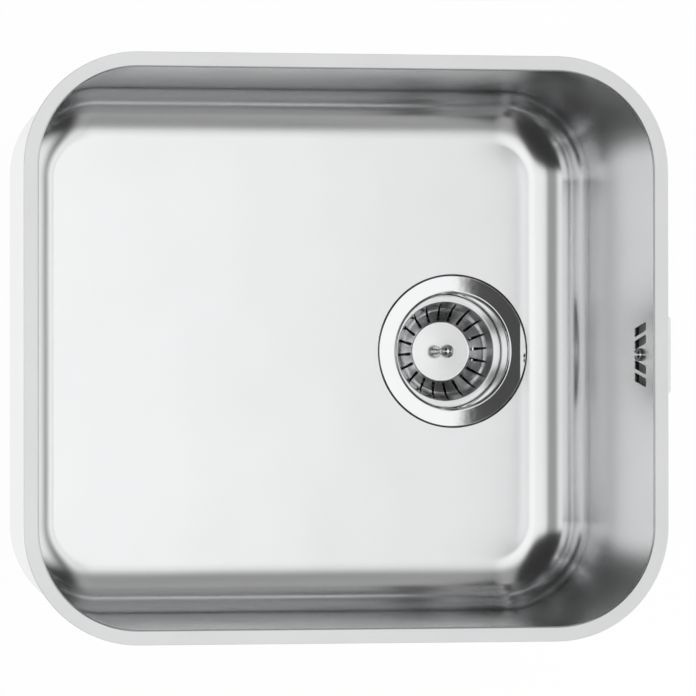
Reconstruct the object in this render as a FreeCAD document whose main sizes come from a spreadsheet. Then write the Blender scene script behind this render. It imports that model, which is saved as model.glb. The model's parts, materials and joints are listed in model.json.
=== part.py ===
import FreeCAD, Part
import math
import os
import re
import Sketcher
from FreeCAD import Placement, Rotation, Vector

# Undermount kitchen sink: one deep-drawn steel bowl with a basket strainer waste and an overflow.
# Origin: centre of the bowl's opening, in the plane of the flange's top face, which lies under
# the worktop. +Z is up and +X points from the bowl's centre to the drain and the overflow.

SIZES = {
    # bowl: millimetres, and degrees for the draft
    "opening_length": 450,
    "opening_width": 400,
    "corner_radius": 72,
    "flange_width": 11,
    "bowl_depth": 200,
    "sheet_thickness": 1.2,
    "rim_bend": 1.08,
    "draft_angle": 2,
    "cove_radius": 38,
    "drain_inset": 102,
    "recess_radius": 58.2,
    "recess_depth": 2.5,
    "drain_hole_clearance": 1.5,
    # overflow slots and screw
    "overflow_drop": 33,
    "overflow_shift": -4,
    "slot_height": 28,
    "slot_width": 6,
    "slot_pitch": 9.2,
    "slot_lean": 9.7,
    "slot_corner": 2,
    "screw_radius": 2.9,
    "screw_head_radius": 4.7,
    "screw_head_height": 4.4,
    "screw_grip": 9.8,
    "screw_clearance": 0.3,
    "screw_dome_share": 0.85,
    # strainer cup and its gaskets
    "cup_flange_radius": 57,
    "cup_radius": 43,
    "cup_sheet": 1,
    "cup_bend": 2.5,
    "cup_ledge_width": 3.5,
    "cup_foot_radius": 28.5,
    "cup_foot_bend": 3,
    "cup_hole_radius": 3.6,
    "cup_hole_circle": 14,
    "flange_gasket_thickness": 1.2,
    "flange_gasket_width": 9.5,
    "body_gasket_thickness": 2.5,
    "body_gasket_width": 7,
    # lift-out basket
    "basket_clearance": 1,
    "basket_drop": 24,
    "basket_mouth_radius": 37.3,
    "basket_fold_radius": 33,
    "basket_fold_drop": 34.5,
    "basket_plate_radius": 22.3,
    "basket_plate_drop": 42,
    "basket_sheet": 0.8,
    "basket_slot_inner_width": 2.4,
    "basket_slot_outer_width": 1.1,
    "basket_slot_margin": 2.2,
    "seat_clearance": 0.3,
    "seal_thickness": 6,
    "seal_radius": 26,
    "seal_bore_radius": 12,
    "seal_lip_width": 6,
    "seal_lip_height": 2.6,
    # knob, stem and grip bush
    "knob_radius": 5.2,
    "knob_height": 22,
    "stem_top_radius": 4,
    "stem_foot_radius": 1.8,
    "stem_base_radius": 4.2,
    "stem_base_height": 1,
    "knob_flat_share": 0.7,
    "pin_radius": 2.5,
    "pin_shoulder_radius": 3.2,
    "stem_nut_radius": 4.5,
    "stem_nut_height": 2.5,
    "bush_length": 12,
    "bush_bore_clearance": 0.05,
    "bush_slide_clearance": 0.08,
    "clip_thickness": 1,
    # hollow bolt that draws the cup and the waste body together
    "bolt_radius": 5,
    "bolt_bore_radius": 3.5,
    "bolt_head_radius": 8,
    "bolt_head_height": 2,
    "bolt_length": 30,
    "bolt_hole_clearance": 0.3,
    "bolt_slot_width": 1.6,
    "bolt_slot_depth": 1.2,
    "bolt_washer_radius": 9,
    "bolt_washer_thickness": 1,
    "insert_radius": 8,
    "insert_length": 14,
    # waste body
    "body_wall": 2.5,
    "body_gap": 2,
    "body_flange_width": 5.5,
    "body_flange_height": 4,
    "body_shoulder_drop": 30,
    "body_waist_drop": 56,
    "body_waist_radius": 33.5,
    "body_waist_height": 10,
    "throat_fall": 14,
    "tail_radius": 23.9,
    "tail_bore_radius": 20,
    "tail_end_drop": 112,
    "tail_thread_length": 24,
    "tail_relief": 0.9,
    "boss_wall": 2.5,
    "boss_gap": 8,
    "boss_rib_thickness": 2.5,
    "boss_rib_height": 12,
    "spigot_drop": 61,
    "spigot_reach": 53,
    "spigot_radius": 10,
    "spigot_bore_radius": 7,
    # overflow head
    "overflow_gasket_thickness": 2,
    "overflow_gasket_width": 3,
    "head_width": 56,
    "head_height": 44,
    "head_top_depth": 9,
    "head_depth": 21.5,
    "head_slope_height": 32,
    "head_wall": 2,
    "head_corner": 2.5,
    "head_boss_radius": 6,
    "head_spigot_axis": 11,
    "head_spigot_length": 14,
    "overflow_insert_radius": 4.5,
    "overflow_insert_length": 9,
    # overflow hose and its two unions
    "hose_radius": 8.6,
    "hose_groove_depth": 1.1,
    "hose_bore_radius": 6.4,
    "hose_bend_radius": 40,
    "hose_rib_pitch": 3.6,
    "hose_collar_radius": 9.8,
    "hose_collar_length": 3,
    "hose_washer_thickness": 2,
    "union_wall": 2.9,
    "union_clearance": 0.1,
    "union_overlap": 10,
    "union_lip_clearance": 0.4,
    "union_lip_length": 3,
    "union_rib_height": 1,
    "union_rib_width": 2.4,
    # sound-deadening pads
    "pad_thickness": 2.5,
    "pad_corner": 15,
    "pad_margin": 14,
    "pad_height": 110,
    "pad_centre_drop": 90,
    "pad_waste_clearance": 10,
}
TOLERANCE = 1e-4
STRAINER_SLOTS = 20
CUP_HOLES = 8
BOSS_RIBS = 3
UNION_RIBS = 10

doc = FreeCAD.newDocument("undermount_sink")
sheet = doc.addObject("Spreadsheet::Sheet", "Sizes")
for row, (alias, value) in enumerate(SIZES.items(), 1):
    sheet.set(f"A{row}", alias)
    sheet.set(f"B{row}", str(value))
    sheet.setAlias(f"B{row}", alias)
doc.recompute()

parts = []


def linked(expression):
    """Point each size's name in an expression at its cell in the sheet."""
    return re.sub(r"[a-z]\w*", lambda word: f"Sizes.{word[0]}" if word[0] in SIZES else word[0],
                  expression)


def number(expression):
    """Work an expression of sizes out as a plain number."""
    result = sheet.evalExpression(linked(expression))
    return float(getattr(result, "Value", result))


def bind(item, path, expression):
    item.setExpression(path, linked(expression))


def new_body(label, place=("0", "0", "0"), rotation=None):
    """Start a piece, placed by three expressions and a rotation."""
    body = doc.addObject("PartDesign::Body", label)
    body.Label = label
    if rotation is not None:
        body.Placement = Placement(Vector(), rotation)
    for axis, expression in zip("xyz", place):
        bind(body, f"Placement.Base.{axis}", expression)
    parts.append(body)
    return body


def origin_part(body, role):
    return next(item for item in body.Origin.OriginFeatures if item.Role == role)


def sketch_on(body, plane, offset="0"):
    """Attach a new sketch to one of the body's own planes, moved along that plane's normal."""
    sketch = body.newObject("Sketcher::SketchObject", f"{body.Label}_sketch")
    sketch.AttachmentSupport = [(origin_part(body, plane), "")]
    sketch.MapMode = "FlatFace"
    bind(sketch, "AttachmentOffset.Base.z", offset)
    return sketch


def dimension(sketch, kind, *reference, value):
    """Add a driving dimension and bind it to an expression."""
    index = sketch.addConstraint(Sketcher.Constraint(kind, *reference, number(value)))
    bind(sketch, f"Constraints[{index}]", value)


def pin_point(sketch, geometry, point, across, up):
    dimension(sketch, "DistanceX", -1, 1, geometry, point, value=across)
    dimension(sketch, "DistanceY", -1, 1, geometry, point, value=up)


def outline(sketch, corners):
    """Draw a closed outline of straight edges, each corner held by two expressions."""
    points = [Vector(number(across), number(up), 0) for across, up in corners]
    count = len(points)
    first = sketch.GeometryCount
    sketch.addGeometry([Part.LineSegment(points[i], points[(i + 1) % count]) for i in range(count)],
                       False)
    for i, (across, up) in enumerate(corners):
        following = first + (i + 1) % count
        sketch.addConstraint(Sketcher.Constraint("Coincident", first + i, 2, following, 1))
        pin_point(sketch, first + i, 1, across, up)


def ring(sketch, radius, across="0", up="0"):
    centre = Vector(number(across), number(up), 0)
    index = sketch.addGeometry(Part.Circle(centre, Vector(0, 0, 1), number(radius)), False)
    dimension(sketch, "Radius", index, value=radius)
    pin_point(sketch, index, 3, across, up)


def rounded_rectangle(sketch, length, width, radius):
    """Draw a rectangle with round corners about the sketch's origin."""
    x, y, r = number(f"({length}) / 2"), number(f"({width}) / 2"), number(radius)
    ends = [((r - x, -y), (x - r, -y)), ((x, r - y), (x, y - r)),
            ((x - r, y), (r - x, y)), ((-x, y - r), (-x, r - y))]
    sides = [Part.LineSegment(Vector(*start, 0), Vector(*stop, 0)) for start, stop in ends]
    centres = [(x - r, r - y), (x - r, y - r), (r - x, y - r), (r - x, r - y)]
    arcs = [Part.ArcOfCircle(Part.Circle(Vector(*centre, 0), Vector(0, 0, 1), r),
                             math.radians(90 * turn - 90), math.radians(90 * turn))
            for turn, centre in enumerate(centres)]
    sketch.addGeometry(sides + arcs, False)
    for side in range(4):
        arc = 4 + side
        sketch.addConstraint(Sketcher.Constraint("Tangent", side, 2, arc, 1))
        sketch.addConstraint(Sketcher.Constraint("Tangent", arc, 2, (side + 1) % 4, 1))
        sketch.addConstraint(Sketcher.Constraint(("Horizontal", "Vertical")[side % 2], side))
    for arc in (5, 6, 7):
        sketch.addConstraint(Sketcher.Constraint("Equal", 4, arc))
    dimension(sketch, "Radius", 4, value=radius)
    dimension(sketch, "DistanceY", -1, 1, 0, 1, value=f"-({width}) / 2")
    dimension(sketch, "DistanceX", -1, 1, 1, 1, value=f"({length}) / 2")
    dimension(sketch, "DistanceY", -1, 1, 2, 1, value=f"({width}) / 2")
    dimension(sketch, "DistanceX", -1, 1, 3, 1, value=f"-({length}) / 2")


def tapered_slot(sketch, near, far, near_radius, far_radius):
    """Draw a slot along the sketch's X axis whose two round ends have their own radii."""
    start, stop = Vector(number(near), 0, 0), Vector(number(far), 0, 0)
    small, large = number(near_radius), number(far_radius)
    lift = Vector(0, 1, 0)
    up = Vector(0, 0, 1)
    sketch.addGeometry([
        Part.LineSegment(start - lift * small, stop - lift * large),
        Part.ArcOfCircle(Part.Circle(stop, up, large), -math.pi / 2, math.pi / 2),
        Part.LineSegment(stop + lift * large, start + lift * small),
        Part.ArcOfCircle(Part.Circle(start, up, small), math.pi / 2, 3 * math.pi / 2),
    ], False)
    for edge in range(4):
        sketch.addConstraint(Sketcher.Constraint("Tangent", edge, 2, (edge + 1) % 4, 1))
    for arc, along, radius in ((1, far, far_radius), (3, near, near_radius)):
        dimension(sketch, "Radius", arc, value=radius)
        sketch.addConstraint(Sketcher.Constraint("PointOnObject", arc, 3, -1))
        dimension(sketch, "DistanceX", -1, 1, arc, 3, value=along)


def feature(body, kind, sketch, removes, **settings):
    """Add one sketched feature and make sure that it really adds or removes material."""
    before = body.Shape.Volume if body.Tip else 0.0
    item = body.newObject(f"PartDesign::{kind}", f"{body.Label}_{kind.lower()}")
    item.Profile = sketch
    for name, value in settings.items():
        if isinstance(value, str) and name in ("Length", "Length2", "TaperAngle"):
            bind(item, name, value)
        else:
            setattr(item, name, value)
    sketch.Visibility = False
    doc.recompute()
    change = item.Shape.Volume - before
    if (change >= 0) if removes else (change <= 0):
        raise ValueError(f"{item.Name} changes nothing: {change:.3f}")
    return item


def pad(body, sketch, length, **settings):
    return feature(body, "Pad", sketch, False, Length=length, **settings)


def pocket(body, sketch, length, **settings):
    return feature(body, "Pocket", sketch, True, Length=length, **settings)


def revolve(body, corners, axis="V_Axis"):
    """Turn a closed outline, drawn on the body's XZ plane, about one of its axes."""
    sketch = sketch_on(body, "XZ_Plane")
    outline(sketch, corners)
    return feature(body, "Revolution", sketch, False, ReferenceAxis=(sketch, [axis]), Angle=360.0)


def groove(body, corners, axis="V_Axis"):
    sketch = sketch_on(body, "XZ_Plane")
    outline(sketch, corners)
    return feature(body, "Groove", sketch, True, ReferenceAxis=(sketch, [axis]), Angle=360.0)


def polar(body, pattern_of, count):
    """Repeat a feature round the body's Z axis."""
    pattern = body.newObject("PartDesign::PolarPattern", f"{body.Label}_pattern")
    pattern.Originals = [pattern_of]
    pattern.Axis = (origin_part(body, "Z_Axis"), [""])
    pattern.Angle = 360.0
    pattern.Occurrences = count
    body.Tip = pattern
    doc.recompute()
    return pattern


def soften(body, radius, chosen):
    """Round every edge of the body's last feature that the test picks."""
    base = body.Tip
    names = [f"Edge{i}" for i, edge in enumerate(base.Shape.Edges, 1) if chosen(edge)]
    if not names:
        raise ValueError(f"{body.Label} has no edge to round at {radius}")
    fillet = body.newObject("PartDesign::Fillet", f"{body.Label}_fillet")
    fillet.Base = (base, names)
    bind(fillet, "Radius", radius)
    doc.recompute()
    if fillet.Shape.isNull():
        raise ValueError(f"{body.Label} can't be rounded at {radius}")
    return fillet


def near(first, second):
    return abs(first - second) < TOLERANCE


def circle_at(radius, height):
    """Make a test for the round edges of one radius at one height in a turned piece."""
    wanted_radius, wanted_height = number(radius), number(height)

    def test(edge):
        return (isinstance(edge.Curve, Part.Circle) and near(edge.Curve.Radius, wanted_radius)
                and near(edge.BoundBox.ZMin, wanted_height)
                and near(edge.BoundBox.ZMax, wanted_height))
    return test


def level_at(height):
    """Make a test for the edges that lie in one level plane."""
    wanted = number(height)
    return lambda edge: near(edge.BoundBox.ZMin, wanted) and near(edge.BoundBox.ZMax, wanted)


def washer(label, inner, outer, low, high, place):
    body = new_body(label, place)
    revolve(body, [(inner, low), (outer, low), (outer, high), (inner, high)])
    return body


# Heights in the drain's own frame, whose origin is on the floor of the bowl at the drain's axis.
DRAIN_X = "(opening_length / 2 - drain_inset)"
DRAIN = (DRAIN_X, "0", "-bowl_depth")
CUP_TOP = "(-recess_depth + flange_gasket_thickness + cup_sheet)"
CUP_UNDER = f"({CUP_TOP} - cup_sheet)"
CUP_LEDGE = "(-basket_drop - basket_sheet - seat_clearance)"
PLATE_UNDER = "(-basket_plate_drop - basket_sheet)"
KNOB_CENTRE = "(-basket_plate_drop + knob_height)"
SEAL_FOOT = f"({PLATE_UNDER} - seal_thickness)"
CUP_FLOOR = f"({SEAL_FOOT} - seat_clearance)"
BOLT_SEAT = f"({CUP_FLOOR} + bolt_washer_thickness)"
BOLT_TOP = f"({BOLT_SEAT} + bolt_head_height)"
BOWL_UNDER = "(-recess_depth - sheet_thickness)"
BODY_TOP = f"({BOWL_UNDER} - body_gasket_thickness)"
BOSS_TOP = f"({CUP_FLOOR} - cup_sheet - boss_gap / 2)"
INSERT_TOP = f"({BOSS_TOP} - boss_gap / 2)"
INSERT_FOOT = f"({INSERT_TOP} - insert_length)"
NUT_FOOT = f"({PLATE_UNDER} - stem_nut_height)"
PIN_SHOULDER = f"({BOLT_SEAT} - 1.5 * clip_thickness)"
BUSH_TOP = f"({PIN_SHOULDER} - seat_clearance)"
BUSH_FOOT = f"({BUSH_TOP} - bush_length)"
CLIP_TOP = f"({BUSH_FOOT} - seat_clearance)"
PIN_END = f"({CLIP_TOP} - 2 * clip_thickness)"
HOLE_RADIUS = "(cup_radius + cup_sheet + drain_hole_clearance)"
BASKET_RIM = "(cup_radius - basket_clearance)"
BODY_BORE = "(cup_radius + cup_sheet + body_gap)"

# The flat faces of the overflow, in the bowl's frame and then in the overflow's own frame, whose
# origin is on the head's face at the screw's axis.
HEAD_FACE = "(opening_length / 2 + sheet_thickness + overflow_gasket_thickness)"
OVERFLOW = (HEAD_FACE, "overflow_shift", "-overflow_drop")
WALL_FALL = "tan(draft_angle)"
WALL_OUTSIDE = f"(-overflow_gasket_thickness - overflow_drop * {WALL_FALL})"
WALL_INSIDE = f"({WALL_OUTSIDE} - sheet_thickness)"

# The hose hangs in the upright plane through the drain's axis and the head's spigot.
HOSE_X = f"({HEAD_FACE} + head_spigot_axis - {DRAIN_X})"
HOSE_REACH = f"sqrt({HOSE_X} ^ 2 + overflow_shift ^ 2)"
HOSE_TURN = math.degrees(math.atan2(number("overflow_shift"), number(HOSE_X)))
HEAD_TIP = "(-overflow_drop - head_height / 2 - head_spigot_length)"
AWAY = Rotation(Vector(0, 0, 1), HOSE_TURN)


def make_bowl():
    """Press the bowl: flange, tapered walls, cove, floor, drain recess and overflow slots."""
    body = new_body("bowl")
    sketch = sketch_on(body, "XY_Plane")
    rounded_rectangle(sketch, "opening_length + 2 * flange_width",
                      "opening_width + 2 * flange_width", "corner_radius + flange_width")
    pad(body, sketch, "sheet_thickness", Reversed=True)
    sketch = sketch_on(body, "XY_Plane")
    rounded_rectangle(sketch, "opening_length + 2 * sheet_thickness",
                      "opening_width + 2 * sheet_thickness", "corner_radius + sheet_thickness")
    pad(body, sketch, "bowl_depth + sheet_thickness", Reversed=True, TaperAngle="-draft_angle")
    sketch = sketch_on(body, "XY_Plane")
    rounded_rectangle(sketch, "opening_length", "opening_width", "corner_radius")
    pocket(body, sketch, "bowl_depth", TaperAngle="-draft_angle")
    soften(body, "cove_radius", level_at("-bowl_depth"))
    soften(body, "cove_radius + sheet_thickness", level_at("-bowl_depth - sheet_thickness"))

    half_length = number("opening_length / 2")

    def on_rim(edge):
        box = edge.BoundBox
        return near(box.ZMax, 0) and near(box.ZMin, 0) and abs(box.XMax) < half_length + TOLERANCE
    soften(body, "rim_bend", on_rim)

    under = "recess_depth + sheet_thickness"
    for height, radius, depth, adds in (
            ("-bowl_depth", "recess_radius + sheet_thickness", under, True),
            ("-bowl_depth + recess_depth", "recess_radius", "2 * recess_depth", False),
            ("-bowl_depth", HOLE_RADIUS, f"2 * ({under})", False)):
        sketch = sketch_on(body, "XY_Plane", height)
        ring(sketch, radius, DRAIN_X)
        if adds:
            pad(body, sketch, depth, Reversed=True)
        else:
            pocket(body, sketch, depth)

    reach = "opening_length / 2 + flange_width"
    sketch = sketch_on(body, "YZ_Plane", reach)
    ring(sketch, "screw_radius + screw_clearance", "overflow_shift", "-overflow_drop")
    pocket(body, sketch, "2 * flange_width + overflow_drop / 2")
    low, high = "-overflow_drop - slot_height / 2", "-overflow_drop + slot_height / 2"
    for step in (-2, -1, 1, 2):
        sketch = sketch_on(body, "YZ_Plane", reach)
        middle = f"overflow_shift + {step} * slot_pitch"
        lean = f"{step} / {abs(step)} * slot_height / 2 * tan(slot_lean)"
        foot, top = f"{middle} - {lean}", f"{middle} + {lean}"
        outline(sketch, [(f"{foot} - slot_width / 2", low), (f"{foot} + slot_width / 2", low),
                         (f"{top} + slot_width / 2", high), (f"{top} - slot_width / 2", high)])
        pocket(body, sketch, "2 * flange_width + overflow_drop / 2")

    def slot_corner(edge):
        box = edge.BoundBox
        return box.XMin > 0 and box.XLength > TOLERANCE > box.YLength + box.ZLength
    soften(body, "slot_corner", slot_corner)
    return body


def make_cup():
    """Turn the strainer cup and pierce its floor."""
    body = new_body("strainer_cup", DRAIN)
    hole = "bolt_radius + bolt_hole_clearance"
    ledge = "cup_radius - cup_ledge_width"
    revolve(body, [
        ("cup_flange_radius", CUP_TOP), ("cup_radius", CUP_TOP), ("cup_radius", CUP_LEDGE),
        (ledge, CUP_LEDGE), ("cup_foot_radius", CUP_FLOOR), (hole, CUP_FLOOR),
        (hole, f"{CUP_FLOOR} - cup_sheet"), ("cup_foot_radius + cup_sheet", f"{CUP_FLOOR} - cup_sheet"),
        (f"{ledge} + cup_sheet", f"{CUP_LEDGE} - cup_sheet"),
        ("cup_radius + cup_sheet", f"{CUP_LEDGE} - cup_sheet"),
        ("cup_radius + cup_sheet", CUP_UNDER), ("cup_flange_radius", CUP_UNDER)])
    soften(body, "cup_bend", circle_at("cup_radius", CUP_TOP))
    soften(body, "cup_bend - cup_sheet", circle_at("cup_radius + cup_sheet", CUP_UNDER))
    soften(body, "cup_foot_bend", circle_at("cup_foot_radius", CUP_FLOOR))
    soften(body, "cup_foot_bend + cup_sheet",
           circle_at("cup_foot_radius + cup_sheet", f"{CUP_FLOOR} - cup_sheet"))
    sketch = sketch_on(body, "XY_Plane", f"{CUP_FLOOR} + cup_sheet")
    ring(sketch, "cup_hole_radius", "cup_hole_circle")
    polar(body, pocket(body, sketch, "3 * cup_sheet"), CUP_HOLES)
    return body


def make_basket():
    """Turn the lift-out basket and cut its radial slots."""
    body = new_body("strainer_basket", DRAIN)
    revolve(body, [
        (BASKET_RIM, "-basket_drop"), ("basket_mouth_radius", "-basket_drop"),
        ("basket_fold_radius", "-basket_fold_drop"), ("basket_plate_radius", "-basket_plate_drop"),
        ("pin_radius", "-basket_plate_drop"), ("pin_radius", PLATE_UNDER),
        ("basket_plate_radius + basket_sheet / 2", PLATE_UNDER),
        ("basket_fold_radius + basket_sheet", "-basket_fold_drop - basket_sheet / 2"),
        ("basket_mouth_radius + basket_sheet", "-basket_drop - basket_sheet"),
        (BASKET_RIM, "-basket_drop - basket_sheet")])
    sketch = sketch_on(body, "XY_Plane", "-basket_drop + basket_sheet")
    tapered_slot(sketch, "basket_plate_radius + basket_slot_margin",
                 "basket_mouth_radius - basket_slot_margin / 2",
                 "basket_slot_inner_width / 2", "basket_slot_outer_width / 2")
    cut = pocket(body, sketch, "basket_plate_drop - basket_drop + 3 * basket_sheet")
    polar(body, cut, STRAINER_SLOTS)
    return body


def make_seal():
    """Mould the stopper ring, with a sealing lip at its foot."""
    body = new_body("basket_seal", DRAIN)
    shelf = f"{SEAL_FOOT} + seal_lip_height"
    revolve(body, [
        ("seal_bore_radius", PLATE_UNDER), ("seal_radius - seal_lip_height", PLATE_UNDER),
        ("seal_radius", shelf), ("seal_radius - seal_lip_height / 3", SEAL_FOOT),
        ("seal_radius - seal_lip_width", SEAL_FOOT), ("seal_radius - seal_lip_width", shelf),
        ("seal_bore_radius", shelf)])
    return body


def make_stem_and_knob():
    """Turn the stem with its pin, the ball knob, the nut, the grip bush and its clip."""
    stem = new_body("knob_stem", DRAIN)
    base = "-basket_plate_drop + stem_base_height"
    neck = f"{KNOB_CENTRE} - knob_radius * knob_flat_share"
    revolve(stem, [
        ("0", neck), ("stem_top_radius", neck), ("stem_foot_radius", base),
        ("stem_base_radius", base), ("stem_base_radius", "-basket_plate_drop"),
        ("pin_radius", "-basket_plate_drop"), ("pin_radius", NUT_FOOT),
        ("pin_shoulder_radius", NUT_FOOT), ("pin_shoulder_radius", PIN_SHOULDER),
        ("pin_radius", PIN_SHOULDER), ("pin_radius", PIN_END), ("0", PIN_END)])

    knob = doc.addObject("Part::Sphere", "knob_ball")
    bind(knob, "Radius", "knob_radius")
    bind(knob, "Angle1", "-asin(knob_flat_share)")
    knob.Label = "basket_knob"
    for axis, expression in zip("xyz", (DRAIN_X, "0", f"-bowl_depth + {KNOB_CENTRE}")):
        bind(knob, f"Placement.Base.{axis}", expression)
    parts.append(knob)

    washer("stem_nut", "pin_radius", "stem_nut_radius", NUT_FOOT, PLATE_UNDER, DRAIN)
    washer("grip_bush", "pin_radius + bush_bore_clearance", "bolt_bore_radius - bush_slide_clearance",
           BUSH_FOOT, BUSH_TOP, DRAIN)
    washer("pin_clip", "pin_radius", "pin_shoulder_radius", f"{CLIP_TOP} - clip_thickness", CLIP_TOP,
           DRAIN)


def make_bolt():
    """Turn the hollow bolt, cut its driver slot, and add the insert and the washer."""
    bolt = new_body("centre_bolt", DRAIN)
    foot = f"{BOLT_SEAT} - bolt_length"
    revolve(bolt, [
        ("bolt_bore_radius", BOLT_TOP), ("bolt_head_radius", BOLT_TOP),
        ("bolt_head_radius", BOLT_SEAT), ("bolt_radius", BOLT_SEAT), ("bolt_radius", foot),
        ("bolt_bore_radius", foot)])
    sketch = sketch_on(bolt, "XZ_Plane")
    low = f"{BOLT_TOP} - bolt_slot_depth"
    side = "bolt_slot_width / 2"
    outline(sketch, [(f"-{side}", low), (side, low), (side, BOLT_TOP), (f"-{side}", BOLT_TOP)])
    pocket(bolt, sketch, "4 * bolt_head_radius", Midplane=True)
    washer("bolt_washer", "bolt_radius", "bolt_washer_radius", CUP_FLOOR, BOLT_SEAT, DRAIN)
    washer("thread_insert", "bolt_radius", "insert_radius", INSERT_FOOT, INSERT_TOP, DRAIN)


def make_gaskets():
    """Punch the two flat rings that seal the cup and the waste body to the bowl."""
    outer = "cup_flange_radius - cup_sheet"
    washer("flange_gasket", f"{outer} - flange_gasket_width", outer, "-recess_depth", CUP_UNDER,
           DRAIN)
    washer("body_gasket", BODY_BORE, f"{BODY_BORE} + body_gasket_width", BODY_TOP, BOWL_UNDER,
           DRAIN)


def make_waste_body():
    """Mould the waste body: flange, stepped shell, outlet tail, side inlet and bolt boss."""
    body = new_body("waste_body", DRAIN, AWAY)
    rim = f"{BODY_BORE} + body_wall"
    flange = f"{rim} + body_flange_width"
    waist = "body_waist_radius + body_wall"
    waist_foot = "-body_waist_drop - body_waist_height"
    throat = f"{waist_foot} - throat_fall"
    neck = "tail_radius - tail_relief"
    thread_top = "-tail_end_drop + tail_thread_length"
    revolve(body, [
        ("0", BODY_TOP), (flange, BODY_TOP), (flange, f"{BODY_TOP} - body_flange_height"),
        (rim, f"{BODY_TOP} - body_flange_height"), (rim, "-body_shoulder_drop"),
        (waist, "-body_waist_drop"), (waist, waist_foot), (neck, throat), (neck, thread_top),
        ("tail_radius", thread_top), ("tail_radius", "-tail_end_drop"), ("0", "-tail_end_drop")])
    sketch = sketch_on(body, "YZ_Plane")
    ring(sketch, "spigot_radius", "0", "-spigot_drop")
    pad(body, sketch, "spigot_reach")
    groove(body, [
        ("0", BODY_TOP), (BODY_BORE, BODY_TOP), (BODY_BORE, "-body_shoulder_drop"),
        ("body_waist_radius", "-body_waist_drop"), ("body_waist_radius", waist_foot),
        ("tail_bore_radius", f"{throat} + body_wall"), ("tail_bore_radius", "-tail_end_drop"),
        ("0", "-tail_end_drop")])
    sketch = sketch_on(body, "YZ_Plane", "spigot_reach")
    ring(sketch, "spigot_bore_radius", "0", "-spigot_drop")
    pocket(body, sketch, "spigot_reach - body_waist_radius + body_wall")

    boss = "insert_radius + boss_wall"
    rib_foot = f"{INSERT_FOOT} + boss_wall"
    sketch = sketch_on(body, "XZ_Plane")
    rib_top = f"{rib_foot} + boss_rib_height"
    outer_end, inner_end = "-body_waist_radius - body_wall / 2", "-insert_radius - boss_wall / 2"
    outline(sketch, [(outer_end, rib_foot), (inner_end, rib_foot), (inner_end, rib_top),
                     (outer_end, rib_top)])
    polar(body, pad(body, sketch, "boss_rib_thickness", Midplane=True), BOSS_RIBS)
    revolve(body, [("insert_radius", BOSS_TOP), (boss, BOSS_TOP), (boss, INSERT_FOOT),
                   ("insert_radius", INSERT_FOOT)])
    return body


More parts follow.
